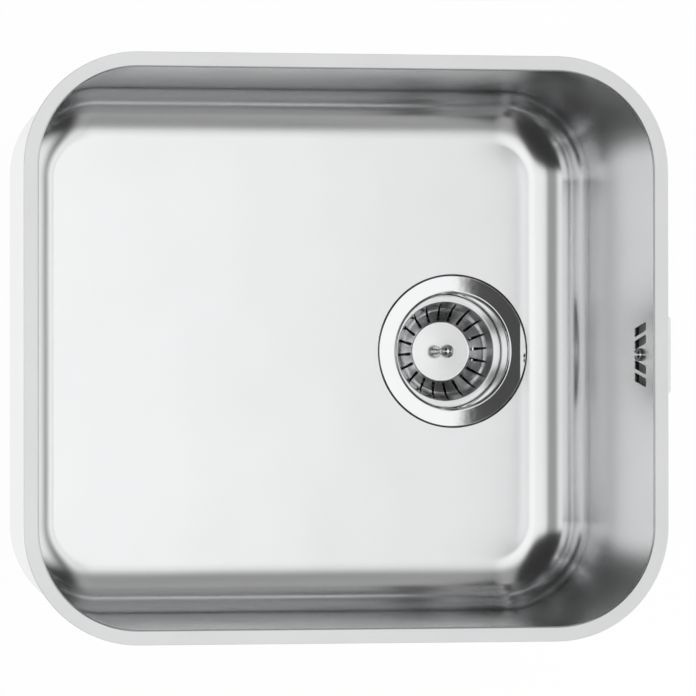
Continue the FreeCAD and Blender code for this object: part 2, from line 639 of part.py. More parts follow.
def make_overflow():
    """Make the overflow: wedge gasket, head, insert and screw, in the overflow's own frame."""
    top, low = "head_height / 2", "-head_height / 2"
    gasket = new_body("overflow_gasket", OVERFLOW)
    reach = "3 * overflow_gasket_thickness"
    sketch = sketch_on(gasket, "YZ_Plane")
    rounded_rectangle(sketch, "head_width", "head_height", "head_corner")
    pad(gasket, sketch, reach, Reversed=True)
    sketch = sketch_on(gasket, "YZ_Plane")
    rounded_rectangle(sketch, "head_width - 2 * overflow_gasket_width",
                      "head_height - 2 * overflow_gasket_width", "head_corner / 2")
    pocket(gasket, sketch, reach)
    sketch = sketch_on(gasket, "XZ_Plane")
    spare = "overflow_gasket_thickness"
    outline(sketch, [
        (f"{WALL_OUTSIDE} + ({top} + {spare}) * {WALL_FALL}", f"{top} + {spare}"),
        (f"-2 * {reach}", f"{top} + {spare}"), (f"-2 * {reach}", f"{low} - {spare}"),
        (f"{WALL_OUTSIDE} + ({low} - {spare}) * {WALL_FALL}", f"{low} - {spare}")])
    pocket(gasket, sketch, "2 * head_width", Midplane=True)

    head = new_body("overflow_head", OVERFLOW)
    sketch = sketch_on(head, "XZ_Plane")
    outline(sketch, [("0", top), ("head_top_depth", top), ("head_depth", f"{top} - head_slope_height"),
                     ("head_depth", low), ("0", low)])
    pad(head, sketch, "head_width", Midplane=True)
    sketch = sketch_on(head, "XY_Plane", f"{low} + head_wall / 2")
    ring(sketch, "spigot_radius", "head_spigot_axis")
    pad(head, sketch, "head_spigot_length + head_wall / 2", Reversed=True)
    soften(head, "head_corner",
           lambda edge: edge.BoundBox.XMax > TOLERANCE and isinstance(edge.Curve, Part.Line))
    sketch = sketch_on(head, "XZ_Plane")
    inner_top, inner_low = f"{top} - head_wall", f"{low} + head_wall"
    slope_top = "head_top_depth - head_wall / 2"
    outline(sketch, [
        ("0", inner_top), (slope_top, inner_top),
        ("head_depth - head_wall", f"{inner_top} - head_slope_height + head_wall"),
        ("head_depth - head_wall", inner_low), ("0", inner_low)])
    pocket(head, sketch, "head_width - 2 * head_wall", Midplane=True)
    sketch = sketch_on(head, "YZ_Plane", "seat_clearance")
    ring(sketch, "head_boss_radius")
    boss_reach = "(head_top_depth + head_depth) / 2 - seat_clearance"
    pad(head, sketch, boss_reach)
    sketch = sketch_on(head, "YZ_Plane", "seat_clearance + overflow_insert_length")
    ring(sketch, "overflow_insert_radius")
    pocket(head, sketch, "2 * overflow_insert_length")
    sketch = sketch_on(head, "YZ_Plane", "seat_clearance + overflow_insert_length + 3 * screw_clearance")
    ring(sketch, "screw_radius + screw_clearance")
    pocket(head, sketch, "2 * overflow_insert_length")
    sketch = sketch_on(head, "XY_Plane", f"{low} + 2 * head_wall")
    ring(sketch, "spigot_bore_radius", "head_spigot_axis")
    pocket(head, sketch, "head_spigot_length + 3 * head_wall")

    insert = new_body("overflow_insert", OVERFLOW)
    front, back = "seat_clearance", "seat_clearance + overflow_insert_length"
    revolve(insert, [(front, "screw_radius"), (back, "screw_radius"),
                     (back, "overflow_insert_radius"), (front, "overflow_insert_radius")], "H_Axis")

    screw = new_body("overflow_screw", OVERFLOW)
    face = f"({WALL_INSIDE} - screw_head_radius * {WALL_FALL})"
    tip = f"({face} - screw_head_height)"
    revolve(screw, [(tip, "0"), ("screw_grip", "0"), ("screw_grip", "screw_radius"),
                    (face, "screw_radius"), (face, "screw_head_radius"), (tip, "screw_head_radius")],
            "H_Axis")
    tip_x = number(tip)
    soften(screw, "screw_dome_share * screw_head_height",
           lambda edge: near(edge.BoundBox.XMax, tip_x))


def make_union(name, place, turned):
    """Make one hose union, a nut over a spigot's tip and the washer between tip and collar.

    The union's axis is its own Z axis, from the spigot's tip towards the hose.
    """
    thread = "spigot_radius + union_clearance"
    outer = f"{thread} + union_wall"
    lip = "hose_radius + union_lip_clearance"
    lip_foot = "hose_washer_thickness + hose_collar_length + seat_clearance"
    end = f"{lip_foot} + union_lip_length"
    nut = new_body(f"{name}_hose_nut", place, turned)
    revolve(nut, [(thread, "-union_overlap"), (outer, "-union_overlap"), (outer, end), (lip, end),
                  (lip, lip_foot), (thread, lip_foot)])
    sketch = sketch_on(nut, "XY_Plane", "-union_overlap")
    side = "union_rib_width / 2"
    inside, outside = f"{outer} - union_wall / 2", f"{outer} + union_rib_height"
    outline(sketch, [(inside, f"-{side}"), (outside, f"-{side}"), (outside, side), (inside, side)])
    polar(nut, pad(nut, sketch, f"union_overlap + {lip_foot}"), UNION_RIBS)

    ring_body = new_body(f"{name}_hose_washer", place, turned)
    revolve(ring_body, [("spigot_bore_radius", "0"), ("spigot_radius", "0"),
                        ("spigot_radius", "hose_washer_thickness"),
                        ("spigot_bore_radius", "hose_washer_thickness")])


def circle_wire(point, along, radius):
    """Make one round section, square to the route, with its seam on a steady axis."""
    turn = Rotation(Vector(0, 1, 0), Vector(), along, "ZXY")
    edge = Part.makeCircle(radius)
    edge.Placement = Placement(point, turn)
    return Part.Wire([edge])


def make_hose():
    """Loft the ribbed hose along its route: down from the head, one bend, into the waste body."""
    reach = number(HOSE_REACH)
    top = number(f"{HEAD_TIP} - hose_washer_thickness")
    low = number("-bowl_depth - spigot_drop")
    end = number("spigot_reach + hose_washer_thickness")
    bend = number("hose_bend_radius")
    drop = top - (low + bend)
    quarter = bend * math.pi / 2
    total = drop + quarter + (reach - bend - end)

    def at(distance):
        """Give the route's point and its direction at a distance from the head."""
        if distance <= drop:
            return Vector(reach, 0, top - distance), Vector(0, 0, -1)
        if distance <= drop + quarter:
            angle = (distance - drop) / bend
            centre = Vector(reach - bend, 0, low + bend)
            point = centre + Vector(math.cos(angle), 0, -math.sin(angle)) * bend
            return point, Vector(-math.sin(angle), 0, -math.cos(angle))
        return Vector(reach - bend - (distance - drop - quarter), 0, low), Vector(-1, 0, 0)

    crest = number("hose_radius")
    groove_radius = number("hose_radius - hose_groove_depth")
    collar = number("hose_collar_radius")
    collar_length = number("hose_collar_length")
    cuff = 2 * crest
    count = round((total - 2 * cuff) / number("hose_rib_pitch"))
    pitch = (total - 2 * cuff) / count
    step = pitch / 8
    stations = [(0, collar), (collar_length, collar), (collar_length + step, crest)]
    for rib in range(count):
        start = cuff + rib * pitch
        stations += [(start, crest), (start + step, groove_radius),
                     (start + 3 * step, groove_radius), (start + 4 * step, crest)]
    stations += [(total - collar_length - step, crest), (total - collar_length, collar),
                 (total, collar)]
    skin = Part.makeLoft([circle_wire(*at(along), radius) for along, radius in stations], True, True)

    corner_top, corner_end = at(drop)[0], at(drop + quarter)[0]
    middle = at(drop + quarter / 2)[0]
    route = Part.Wire([Part.LineSegment(at(0)[0], corner_top).toShape(),
                       Part.Arc(corner_top, middle, corner_end).toShape(),
                       Part.LineSegment(corner_end, at(total)[0]).toShape()])
    bore_radius = number("hose_bore_radius")
    bore = route.makePipeShell([circle_wire(*at(0), bore_radius)], True, False)
    swept = math.pi * bore_radius ** 2 * total
    print(f"hose: {total:.1f} mm long, {count} ribs, bend radius {bend:.0f} mm,",
          f"bore volume {bore.Volume:.0f} of {swept:.0f} mm3")

    hose = doc.addObject("Part::Feature", "overflow_hose")
    hose.Label = "overflow_hose"
    hose.Shape = skin.cut(bore)
    hose.Placement = Placement(Vector(number(DRAIN_X), 0, 0), AWAY)
    parts.append(hose)


def make_unions():
    down = Rotation(Vector(1, 0, 0), 180)
    outward = AWAY.multiply(Rotation(Vector(0, 1, 0), 90))
    make_union("upper", (f"{HEAD_FACE} + head_spigot_axis", "overflow_shift", HEAD_TIP), down)
    along = f"spigot_reach / {HOSE_REACH}"
    make_union("lower", (f"{DRAIN_X} + {HOSE_X} * {along}", f"overflow_shift * {along}",
                         "-bowl_depth - spigot_drop"), outward)


def make_pads():
    """Cut the sound-deadening pads for the floor and for the two long walls."""
    floor_inset = f"(bowl_depth * {WALL_FALL} + cove_radius + pad_margin)"
    left = f"(opening_length / 2 - {floor_inset})"
    right = f"({DRAIN_X} - recess_radius - pad_waste_clearance)"
    pad_body = new_body("floor_pad", (f"({right} - {left}) / 2", "0", "-bowl_depth - sheet_thickness"))
    sketch = sketch_on(pad_body, "XY_Plane")
    rounded_rectangle(sketch, f"{left} + {right}", f"opening_width - 2 * {floor_inset}", "pad_corner")
    pad(pad_body, sketch, "pad_thickness", Reversed=True)

    lean = number("draft_angle")
    inset = f"(sheet_thickness - pad_centre_drop * {WALL_FALL})"
    for label, reach, turn in (
            ("front_pad", f"-opening_width / 2 - {inset}", 0),
            ("rear_pad", f"opening_width / 2 + {inset}", 180)):
        upright = Rotation(Vector(0, 0, 1), turn).multiply(Rotation(Vector(1, 0, 0), 90 + lean))
        body = new_body(label, ("0", reach, "-pad_centre_drop"), upright)
        sketch = sketch_on(body, "XY_Plane")
        rounded_rectangle(sketch, "opening_length - 2 * corner_radius - 2 * pad_margin",
                          "pad_height", "pad_corner")
        pad(body, sketch, "pad_thickness")


make_bowl()
make_cup()
make_basket()
make_seal()
make_stem_and_knob()
make_bolt()
make_gaskets()
make_waste_body()
make_overflow()
make_unions()
make_hose()
make_pads()
doc.recompute()

broken = [item.Name for item in doc.Objects if {"Invalid", "Error"} & set(item.State)]
if broken:
    raise ValueError(f"failed features: {broken}")
os.makedirs("parts", exist_ok=True)
for part in parts:
    if part.Shape.isNull() or not part.Shape.isValid():
        raise ValueError(f"{part.Label} has no valid shape")
    part.Shape.exportStep(f"parts/{part.Label}.step")
    print(f"{part.Label}: {len(part.Shape.Solids)} solid, {part.Shape.Volume / 1000:.2f} cm3")
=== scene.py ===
"""Dress the undermount kitchen sink: fine meshes, finishes, studio and camera.

Sizes are in millimetres, as a drawing has them, and each mesh is made in metres.
The origin is the centre of the bowl's opening, in the plane of the flange's top face.
"""
import json
import logging
import math
from dataclasses import dataclass
from enum import Enum
from typing import Callable, NamedTuple, Optional, Sequence, Union

import bpy
from mathutils import Matrix, Vector
from mathutils.geometry import delaunay_2d_cdt


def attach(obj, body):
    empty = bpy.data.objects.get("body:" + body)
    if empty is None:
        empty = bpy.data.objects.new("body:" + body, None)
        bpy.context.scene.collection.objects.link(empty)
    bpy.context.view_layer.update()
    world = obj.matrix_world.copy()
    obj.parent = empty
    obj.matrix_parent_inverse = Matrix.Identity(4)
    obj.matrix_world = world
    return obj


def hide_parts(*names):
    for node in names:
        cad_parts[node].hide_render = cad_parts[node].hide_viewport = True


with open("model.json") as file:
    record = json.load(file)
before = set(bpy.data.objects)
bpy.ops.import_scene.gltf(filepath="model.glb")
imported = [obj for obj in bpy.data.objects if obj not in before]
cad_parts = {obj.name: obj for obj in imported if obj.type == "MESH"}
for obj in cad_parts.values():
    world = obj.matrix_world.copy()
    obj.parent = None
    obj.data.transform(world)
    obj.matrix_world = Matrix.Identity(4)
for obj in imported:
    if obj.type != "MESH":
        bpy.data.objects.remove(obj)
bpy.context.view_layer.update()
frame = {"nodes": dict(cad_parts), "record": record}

MM = 0.001
log = logging.getLogger("sink")

Colour = tuple[float, float, float]
Corner = tuple[float, float, float]
Rows = list[list[int]]


class Rides(Enum):
    """The three bodies that pieces move with."""

    SINK = "sink"
    BUSH = "bush"
    BASKET = "basket"


# ---------------------------------------------------------------- shader graphs


class Value:
    """A socket that carries a number, so that shader sums read as sums."""

    def __init__(self, graph: "Graph", socket: bpy.types.NodeSocket) -> None:
        """Keep the socket and the graph that it belongs to."""
        self.graph = graph
        self.socket = socket

    def _node(self, operation: str, first: "Number", second: "Number") -> "Value":
        """Add one Math node."""
        node = self.graph.add("ShaderNodeMath", {"operation": operation}, {0: first, 1: second})
        return Value(self.graph, node.outputs[0])

    def __add__(self, other: "Number") -> "Value":
        """Add."""
        return self._node("ADD", self, other)

    __radd__ = __add__

    def __mul__(self, other: "Number") -> "Value":
        """Multiply."""
        return self._node("MULTIPLY", self, other)

    __rmul__ = __mul__

    def __sub__(self, other: "Number") -> "Value":
        """Subtract."""
        return self._node("SUBTRACT", self, other)

    def __rsub__(self, other: "Number") -> "Value":
        """Subtract from a plain number."""
        return self._node("SUBTRACT", other, self)

    def __truediv__(self, other: "Number") -> "Value":
        """Divide."""
        return self._node("DIVIDE", self, other)

    def __pow__(self, other: "Number") -> "Value":
        """Raise to a power."""
        return self._node("POWER", self, other)

    def apply(self, operation: str, other: "Number" = 0.0) -> "Value":
        """Put the value through a Math operation that has no sign of its own."""
        return self._node(operation, self, other)

    def ramp(self, low: float, high: float) -> "Value":
        """Rise smoothly from 0 at low to 1 at high.

        Args:
            low: the value where the rise starts.
            high: the value where it ends.

        Returns:
            The smooth step between the two.
        """
        node = self.graph.add(
            "ShaderNodeMapRange",
            {"interpolation_type": "SMOOTHSTEP"},
            {"Value": self, "From Min": low, "From Max": high},
        )
        return Value(self.graph, node.outputs["Result"])


Number = Union[float, Value]


class Graph:
    """The node tree of one material or of the world."""

    def __init__(self, owner: Union[bpy.types.Material, bpy.types.World]) -> None:
        """Start an empty tree."""
        owner.use_nodes = True
        self.tree = owner.node_tree
        self.tree.nodes.clear()

    def add(self, kind: str, settings: dict, inputs: dict) -> bpy.types.Node:
        """Add a node, set it up, then fill or link its sockets.

        Args:
            kind: the node's type.
            settings: its own settings; the key "stops" fills a colour ramp.
            inputs: what each socket, named or counted, holds or is linked to.

        Returns:
            The new node.
        """
        node = self.tree.nodes.new(kind)
        for name, setting in settings.items():
            if name == "stops":
                ramp = node.color_ramp
                for place, (position, colour) in enumerate(setting):
                    stop = ramp.elements[place] if place < 2 else ramp.elements.new(position)
                    stop.position, stop.color = position, (*colour, 1.0)
            else:
                setattr(node, name, setting)
        for name, given in inputs.items():
            socket = node.inputs[name]
            if isinstance(given, Value):
                given = given.socket
            if isinstance(given, bpy.types.NodeSocket):
                self.tree.links.new(given, socket)
            elif isinstance(given, tuple) and socket.type == "RGBA":
                socket.default_value = (*given, 1.0)
            else:
                socket.default_value = given
        return node

    def place(self) -> bpy.types.NodeSocket:
        """Give the surface's own coordinates, in metres."""
        return self.add("ShaderNodeTexCoord", {}, {}).outputs["Object"]

    def height(self) -> Value:
        """Give the surface's height in its own coordinates, in metres."""
        return Value(self, self.add("ShaderNodeSeparateXYZ", {}, {"Vector": self.place()}).outputs["Z"])

    def stretched(self, scale: tuple[float, float, float]) -> bpy.types.NodeSocket:
        """Give the surface's coordinates times a scale of their own along each axis."""
        node = self.add("ShaderNodeMapping", {}, {"Vector": self.place(), "Scale": scale})
        return node.outputs["Vector"]

    def noise(self, scale: float, detail: float = 2.0,
              along: Optional[bpy.types.NodeSocket] = None) -> Value:
        """Give a soft noise between 0 and 1.

        Args:
            scale: how many swells there are to a metre.
            detail: how many finer octaves it has.
            along: coordinates other than the surface's own.

        Returns:
            The noise's value.
        """
        node = self.add("ShaderNodeTexNoise", {},
                        {"Vector": along or self.place(), "Scale": scale, "Detail": detail})
        return Value(self, node.outputs["Fac"])

    def blend(self, factor: Number, first: Colour, second: Colour) -> bpy.types.NodeSocket:
        """Mix two colours."""
        node = self.add("ShaderNodeMix", {"data_type": "RGBA"}, {0: factor, 6: first, 7: second})
        return node.outputs[2]

    def bump(self, height: Value, distance: float, strength: float = 1.0,
             over: Optional[bpy.types.NodeSocket] = None) -> bpy.types.NodeSocket:
        """Turn a height into a bumped normal.

        Args:
            height: the height, from 0 to 1.
            distance: what a height of 1 stands for, in metres.
            strength: how much of the bump shows.
            over: a normal that is bumped already.

        Returns:
            The bumped normal.
        """
        inputs = {"Height": height, "Distance": distance, "Strength": strength}
        if over is not None:
            inputs["Normal"] = over
        return self.add("ShaderNodeBump", {}, inputs).outputs["Normal"]

    def surface(self, **inputs: object) -> None:
        """Finish with one principled shader."""
        named = {name.replace("_", " "): given for name, given in inputs.items()}
        shader = self.add("ShaderNodeBsdfPrincipled", {}, named)
        self.add("ShaderNodeOutputMaterial", {}, {"Surface": shader.outputs[0]})


# ---------------------------------------------------------------- finishes


@dataclass(frozen=True)
class Finish:
    """A finish, with the record's slot that it belongs to."""

    slot: str
    colour: Colour
    roughness: float
    variant: str = ""

    def draw(self, graph: Graph) -> None:
        """Fill the material's tree.

        Args:
            graph: the material's tree.
        """
        raise NotImplementedError

    def material(self) -> bpy.types.Material:
        """Make the material once, and give the same one after that."""
        name = f"finish_{self.slot}{self.variant}"
        made = bpy.data.materials.get(name)
        if made is None:
            made = bpy.data.materials.new(name)
            self.draw(Graph(made))
        return made


@dataclass(frozen=True)
class SatinSteel(Finish):
    """Drawn stainless steel, brushed to a soft sheen, with the faint waves of the press."""

    grain_length: float = 0.03
    grain_width: float = 0.0004
    wave: float = 9.0
    wave_height: float = 0.0006
    wall_above: tuple[float, float] = (-0.19, -0.16)
    wall_matt: float = 0.05
    flange_above: tuple[float, float] = (-0.0016, -0.0004)
    flange_matt: float = 0.1

    def draw(self, graph: Graph) -> None:
        """Lay the brushed grain over slow waves and cloudy gloss.

        Args:
            graph: the material's tree.
        """
        lengthways = 1 / self.grain_length
        crossways = 1 / self.grain_width
        grain = graph.noise(1.0, 3.0, graph.stretched((lengthways, crossways, crossways)))
        cloud = graph.noise(14.0, 4.0)
        waves = graph.noise(self.wave, 1.0)
        height = graph.height()
        matt = (height.ramp(*self.wall_above) * self.wall_matt
                + height.ramp(*self.flange_above) * self.flange_matt)
        pale = tuple(min(1.0, 1.03 * part) for part in self.colour)
        graph.surface(
            Base_Color=graph.blend(cloud * 0.5 + grain * 0.5, self.colour, pale),
            Metallic=1.0,
            Roughness=matt + self.roughness + (grain - 0.5) * 0.06 + (cloud - 0.5) * 0.08,
            Normal=graph.bump(grain, 0.00001, 0.35, graph.bump(waves, self.wave_height)),
        )


@dataclass(frozen=True)
class PolishedSteel(Finish):
    """Steel polished to a mirror, with the finest swirl left in it."""

    def draw(self, graph: Graph) -> None:
        """Lay fine swirls over a mirror.

        Args:
            graph: the material's tree.
        """
        swirl = graph.noise(900.0, 3.0)
        haze = graph.noise(60.0, 2.0)
        dull = tuple(0.96 * part for part in self.colour)
        graph.surface(
            Base_Color=graph.blend(haze, dull, self.colour),
            Metallic=1.0,
            Roughness=self.roughness + haze * 0.015 + swirl * 0.01,
            Normal=graph.bump(haze, 0.00001, 0.5),
        )


@dataclass(frozen=True)
class Rubber(Finish):
    """Moulded rubber, dull where it was rubbed and dusty in its pores."""

    grain: float = 2500.0

    def draw(self, graph: Graph) -> None:
        """Lay a fine pore over slow patches.

        Args:
            graph: the material's tree.
        """
        pores = graph.noise(self.grain, 2.0)
        patches = graph.noise(70.0, 3.0)
        dusty = tuple(part + 0.03 for part in self.colour)
        graph.surface(
            Base_Color=graph.blend(patches, self.colour, dusty),
            Roughness=self.roughness + (patches - 0.5) * 0.2,
            Normal=graph.bump(pores, 0.00003, 0.6),
        )


@dataclass(frozen=True)
class Moulded(Finish):
    """Injection-moulded plastic with a fine spark-eroded grain and faint flow clouds."""

    grain: float = 1800.0
    grain_height: float = 0.00003

    def draw(self, graph: Graph) -> None:
        """Lay the mould's grain over faint clouds.

        Args:
            graph: the material's tree.
        """
        grain = graph.noise(self.grain, 2.0)
        clouds = graph.noise(25.0, 3.0)
        shaded = tuple(0.93 * part for part in self.colour)
        graph.surface(
            Base_Color=graph.blend(clouds, shaded, self.colour),
            Roughness=self.roughness + (clouds - 0.5) * 0.12 + (grain - 0.5) * 0.08,
            Normal=graph.bump(grain, self.grain_height, 0.6),
        )


@dataclass(frozen=True)
class TurnedBrass(Finish):
    """Brass straight from the lathe, with its tool rings and a first tarnish."""

    def draw(self, graph: Graph) -> None:
        """Lay tool marks over patches of tarnish.

        Args:
            graph: the material's tree.
        """
        rings = graph.noise(1.0, 1.0, graph.stretched((60.0, 60.0, 6000.0)))
        tarnish = graph.noise(120.0, 4.0).ramp(0.45, 0.75)
        brown = tuple(0.6 * part for part in self.colour)
        graph.surface(
            Base_Color=graph.blend(tarnish, self.colour, brown),
            Metallic=1.0,
            Roughness=self.roughness + tarnish * 0.15,
            Normal=graph.bump(rings, 0.00002, 0.5),
        )


@dataclass(frozen=True)
class DampingMat(Finish):
    """Dense bitumen mat with a pebbled face and a dry, chalky bloom."""

    pebble: float = 420.0

    def draw(self, graph: Graph) -> None:
        """Lay rounded pebbles over a chalky bloom.

        Args:
            graph: the material's tree.
        """
        cells = graph.add("ShaderNodeTexVoronoi", {"feature": "SMOOTH_F1"},
                          {"Vector": graph.place(), "Scale": self.pebble, "Smoothness": 0.6})
        pebbles = 1.0 - Value(graph, cells.outputs["Distance"])
        bloom = graph.noise(18.0, 5.0).ramp(0.4, 0.75)
        chalky = tuple(part + 0.09 for part in self.colour)
        graph.surface(
            Base_Color=graph.blend(bloom * 0.6 + pebbles * 0.2, self.colour, chalky),
            Roughness=self.roughness + bloom * 0.1,
            Normal=graph.bump(pebbles, 0.0004, 0.8),
        )


SATIN_STEEL = SatinSteel("satin_steel", (0.86, 0.865, 0.87), 0.18)
POLISHED_STEEL = PolishedSteel("polished_steel", (0.86, 0.865, 0.87), 0.005)
PRESSED_STEEL = PolishedSteel("polished_steel", (0.9, 0.905, 0.91), 0.12, "_pressed")
RUBBER = Rubber("rubber", (0.045, 0.045, 0.048), 0.7)
SEAL_RUBBER = Rubber("seal_rubber", (0.07, 0.07, 0.074), 0.5)
WASTE_PLASTIC = Moulded("waste_plastic", (0.74, 0.75, 0.74), 0.42)
UNION_PLASTIC = Moulded("union_plastic", (0.075, 0.075, 0.08), 0.45)
HOSE_PLASTIC = Moulded("hose_plastic", (0.70, 0.71, 0.70), 0.38)
BUSH_PLASTIC = Moulded("bush_plastic", (0.82, 0.82, 0.79), 0.3)
BRASS = TurnedBrass("brass", (0.72, 0.55, 0.28), 0.25)
PAD_BITUMEN = DampingMat("pad_bitumen", (0.12, 0.12, 0.124), 0.82)
FINISHES = (SATIN_STEEL, POLISHED_STEEL, RUBBER, SEAL_RUBBER, WASTE_PLASTIC, UNION_PLASTIC,
            HOSE_PLASTIC, BUSH_PLASTIC, BRASS, PAD_BITUMEN)


# ---------------------------------------------------------------- meshes


class Station(NamedTuple):
    """One point of a profile, with the direction that the surface faces there."""

    out: float
    up: float
    face_out: float
    face_up: float

    def moved(self, distance: float) -> "Station":
        """Move the point along the direction that it faces."""
        return self._replace(out=self.out + self.face_out * distance,
                             up=self.up + self.face_up * distance)

    def between(self, other: "Station", share: float) -> "Station":
        """Give the point that lies a share of the way to another."""
        return Station(*(a + (b - a) * share for a, b in zip(self, other)))


def rounded(corners: Sequence[Corner], closed: bool = False, step: float = 9.0) -> list[Station]:
    """Round the corners of a path off, with the solid on the path's right.

    Args:
        corners: each corner's distance out, its height and its radius.
        closed: whether the last corner leads back to the first.
        step: the largest turn between two points of an arc, in degrees.

    Returns:
        The path's points, each facing away from the solid.
    """
    points = [Vector(corner[:2]) for corner in corners]
    last = len(points) - 1
    stations = []
    for i, (point, corner) in enumerate(zip(points, corners)):
        if not closed and i in (0, last):
            along = (points[min(i + 1, last)] - points[max(i - 1, 0)]).normalized()
            stations.append(Station(point.x, point.y, -along.y, along.x))
            continue
        before = (point - points[i - 1]).normalized()
        after = (points[(i + 1) % len(points)] - point).normalized()
        turn = math.atan2(before.cross(after), before.dot(after))
        side = math.copysign(1.0, turn)
        start = point - before * corner[2] * math.tan(abs(turn) / 2)
        centre = start + Vector((-before.y, before.x)) * corner[2] * side
        heading = math.atan2(before.y, before.x)
        steps = max(1, math.ceil(abs(turn) / math.radians(step)))
        for k in range(steps + 1):
            angle = heading + turn * k / steps
            face = Vector((-math.sin(angle), math.cos(angle)))
            place = centre - face * corner[2] * side
            stations.append(Station(place.x, place.y, face.x, face.y))
    return stations


def spaced(stations: Sequence[Station], spacing: float) -> list[Station]:
    """Divide the long straight runs of a closed path.

    Args:
        stations: the path's points.
        spacing: the longest step that is left between two of them.

    Returns:
        The path with points added along its longer steps.
    """
    divided = []
    for i, station in enumerate(stations):
        following = stations[(i + 1) % len(stations)]
        run = math.hypot(following.out - station.out, following.up - station.up)
        pieces = max(1, round(run / spacing))
        divided += [station.between(following, k / pieces) for k in range(pieces)]
    return divided


def disc(centre: tuple[float, float], radius: float, steps: int) -> list[Station]:
    """Draw a round hole's outline, facing out of the hole's middle."""
    turns = [2 * math.pi * k / steps for k in range(steps)]
    return [Station(centre[0] + radius * math.cos(a), centre[1] + radius * math.sin(a),
                    math.cos(a), math.sin(a)) for a in turns]


def cut_at(stations: Sequence[Station], out: float) -> Station:
    """Give the point of a path, read from the middle outwards, at one distance out."""
    for near, far in zip(stations, stations[1:]):
        if near.out <= out <= far.out and far.out > near.out:
            return near.between(far, (out - near.out) / (far.out - near.out))
    raise ValueError(f"the path doesn't pass {out}")


@dataclass(frozen=True)
class Section:
    """A level cross-section: a circle, or a rectangle whose corners are arcs."""

    half_length: float = 0.0
    half_width: float = 0.0
    radius: float = 0.0
    centre: tuple[float, float] = (0.0, 0.0)
    steps: int = 16

    def ring(self, station: Station) -> tuple[list[Vector], list[Vector]]:
        """Carry one point of a profile round the section.

        Args:
            station: the point, with its distance out from the section.

        Returns:
            The ring's points, and the direction that each faces.
        """
        reach = self.radius + station.out
        if abs(reach) < 1e-6 and not self.half_length:
            face = Vector((0, 0, station.face_up)).normalized()
            return [Vector((*self.centre, station.up))], [face]
        points, faces = [], []
        for quarter in range(4):
            side_x = self.half_length * (1 if quarter in (0, 3) else -1)
            side_y = self.half_width * (1 if quarter in (0, 1) else -1)
            for k in range(self.steps + (1 if self.half_length else 0)):
                angle = (quarter + k / self.steps) * math.pi / 2
                x, y = math.cos(angle), math.sin(angle)
                points.append(Vector((self.centre[0] + side_x + reach * x,
                                      self.centre[1] + side_y + reach * y, station.up)))
                faces.append(Vector((station.face_out * x, station.face_out * y, station.face_up)))
        return points, faces


@dataclass(frozen=True)
class Plate:
    """A sheet that holes are cut through: its two skins, and how a hole's outline lies in it."""

    front: Callable[[float, float], tuple[Vector, Vector]]
    back: Callable[[float, float], tuple[Vector, Vector]]
    across: Callable[[float, float], Vector]
    through: Vector


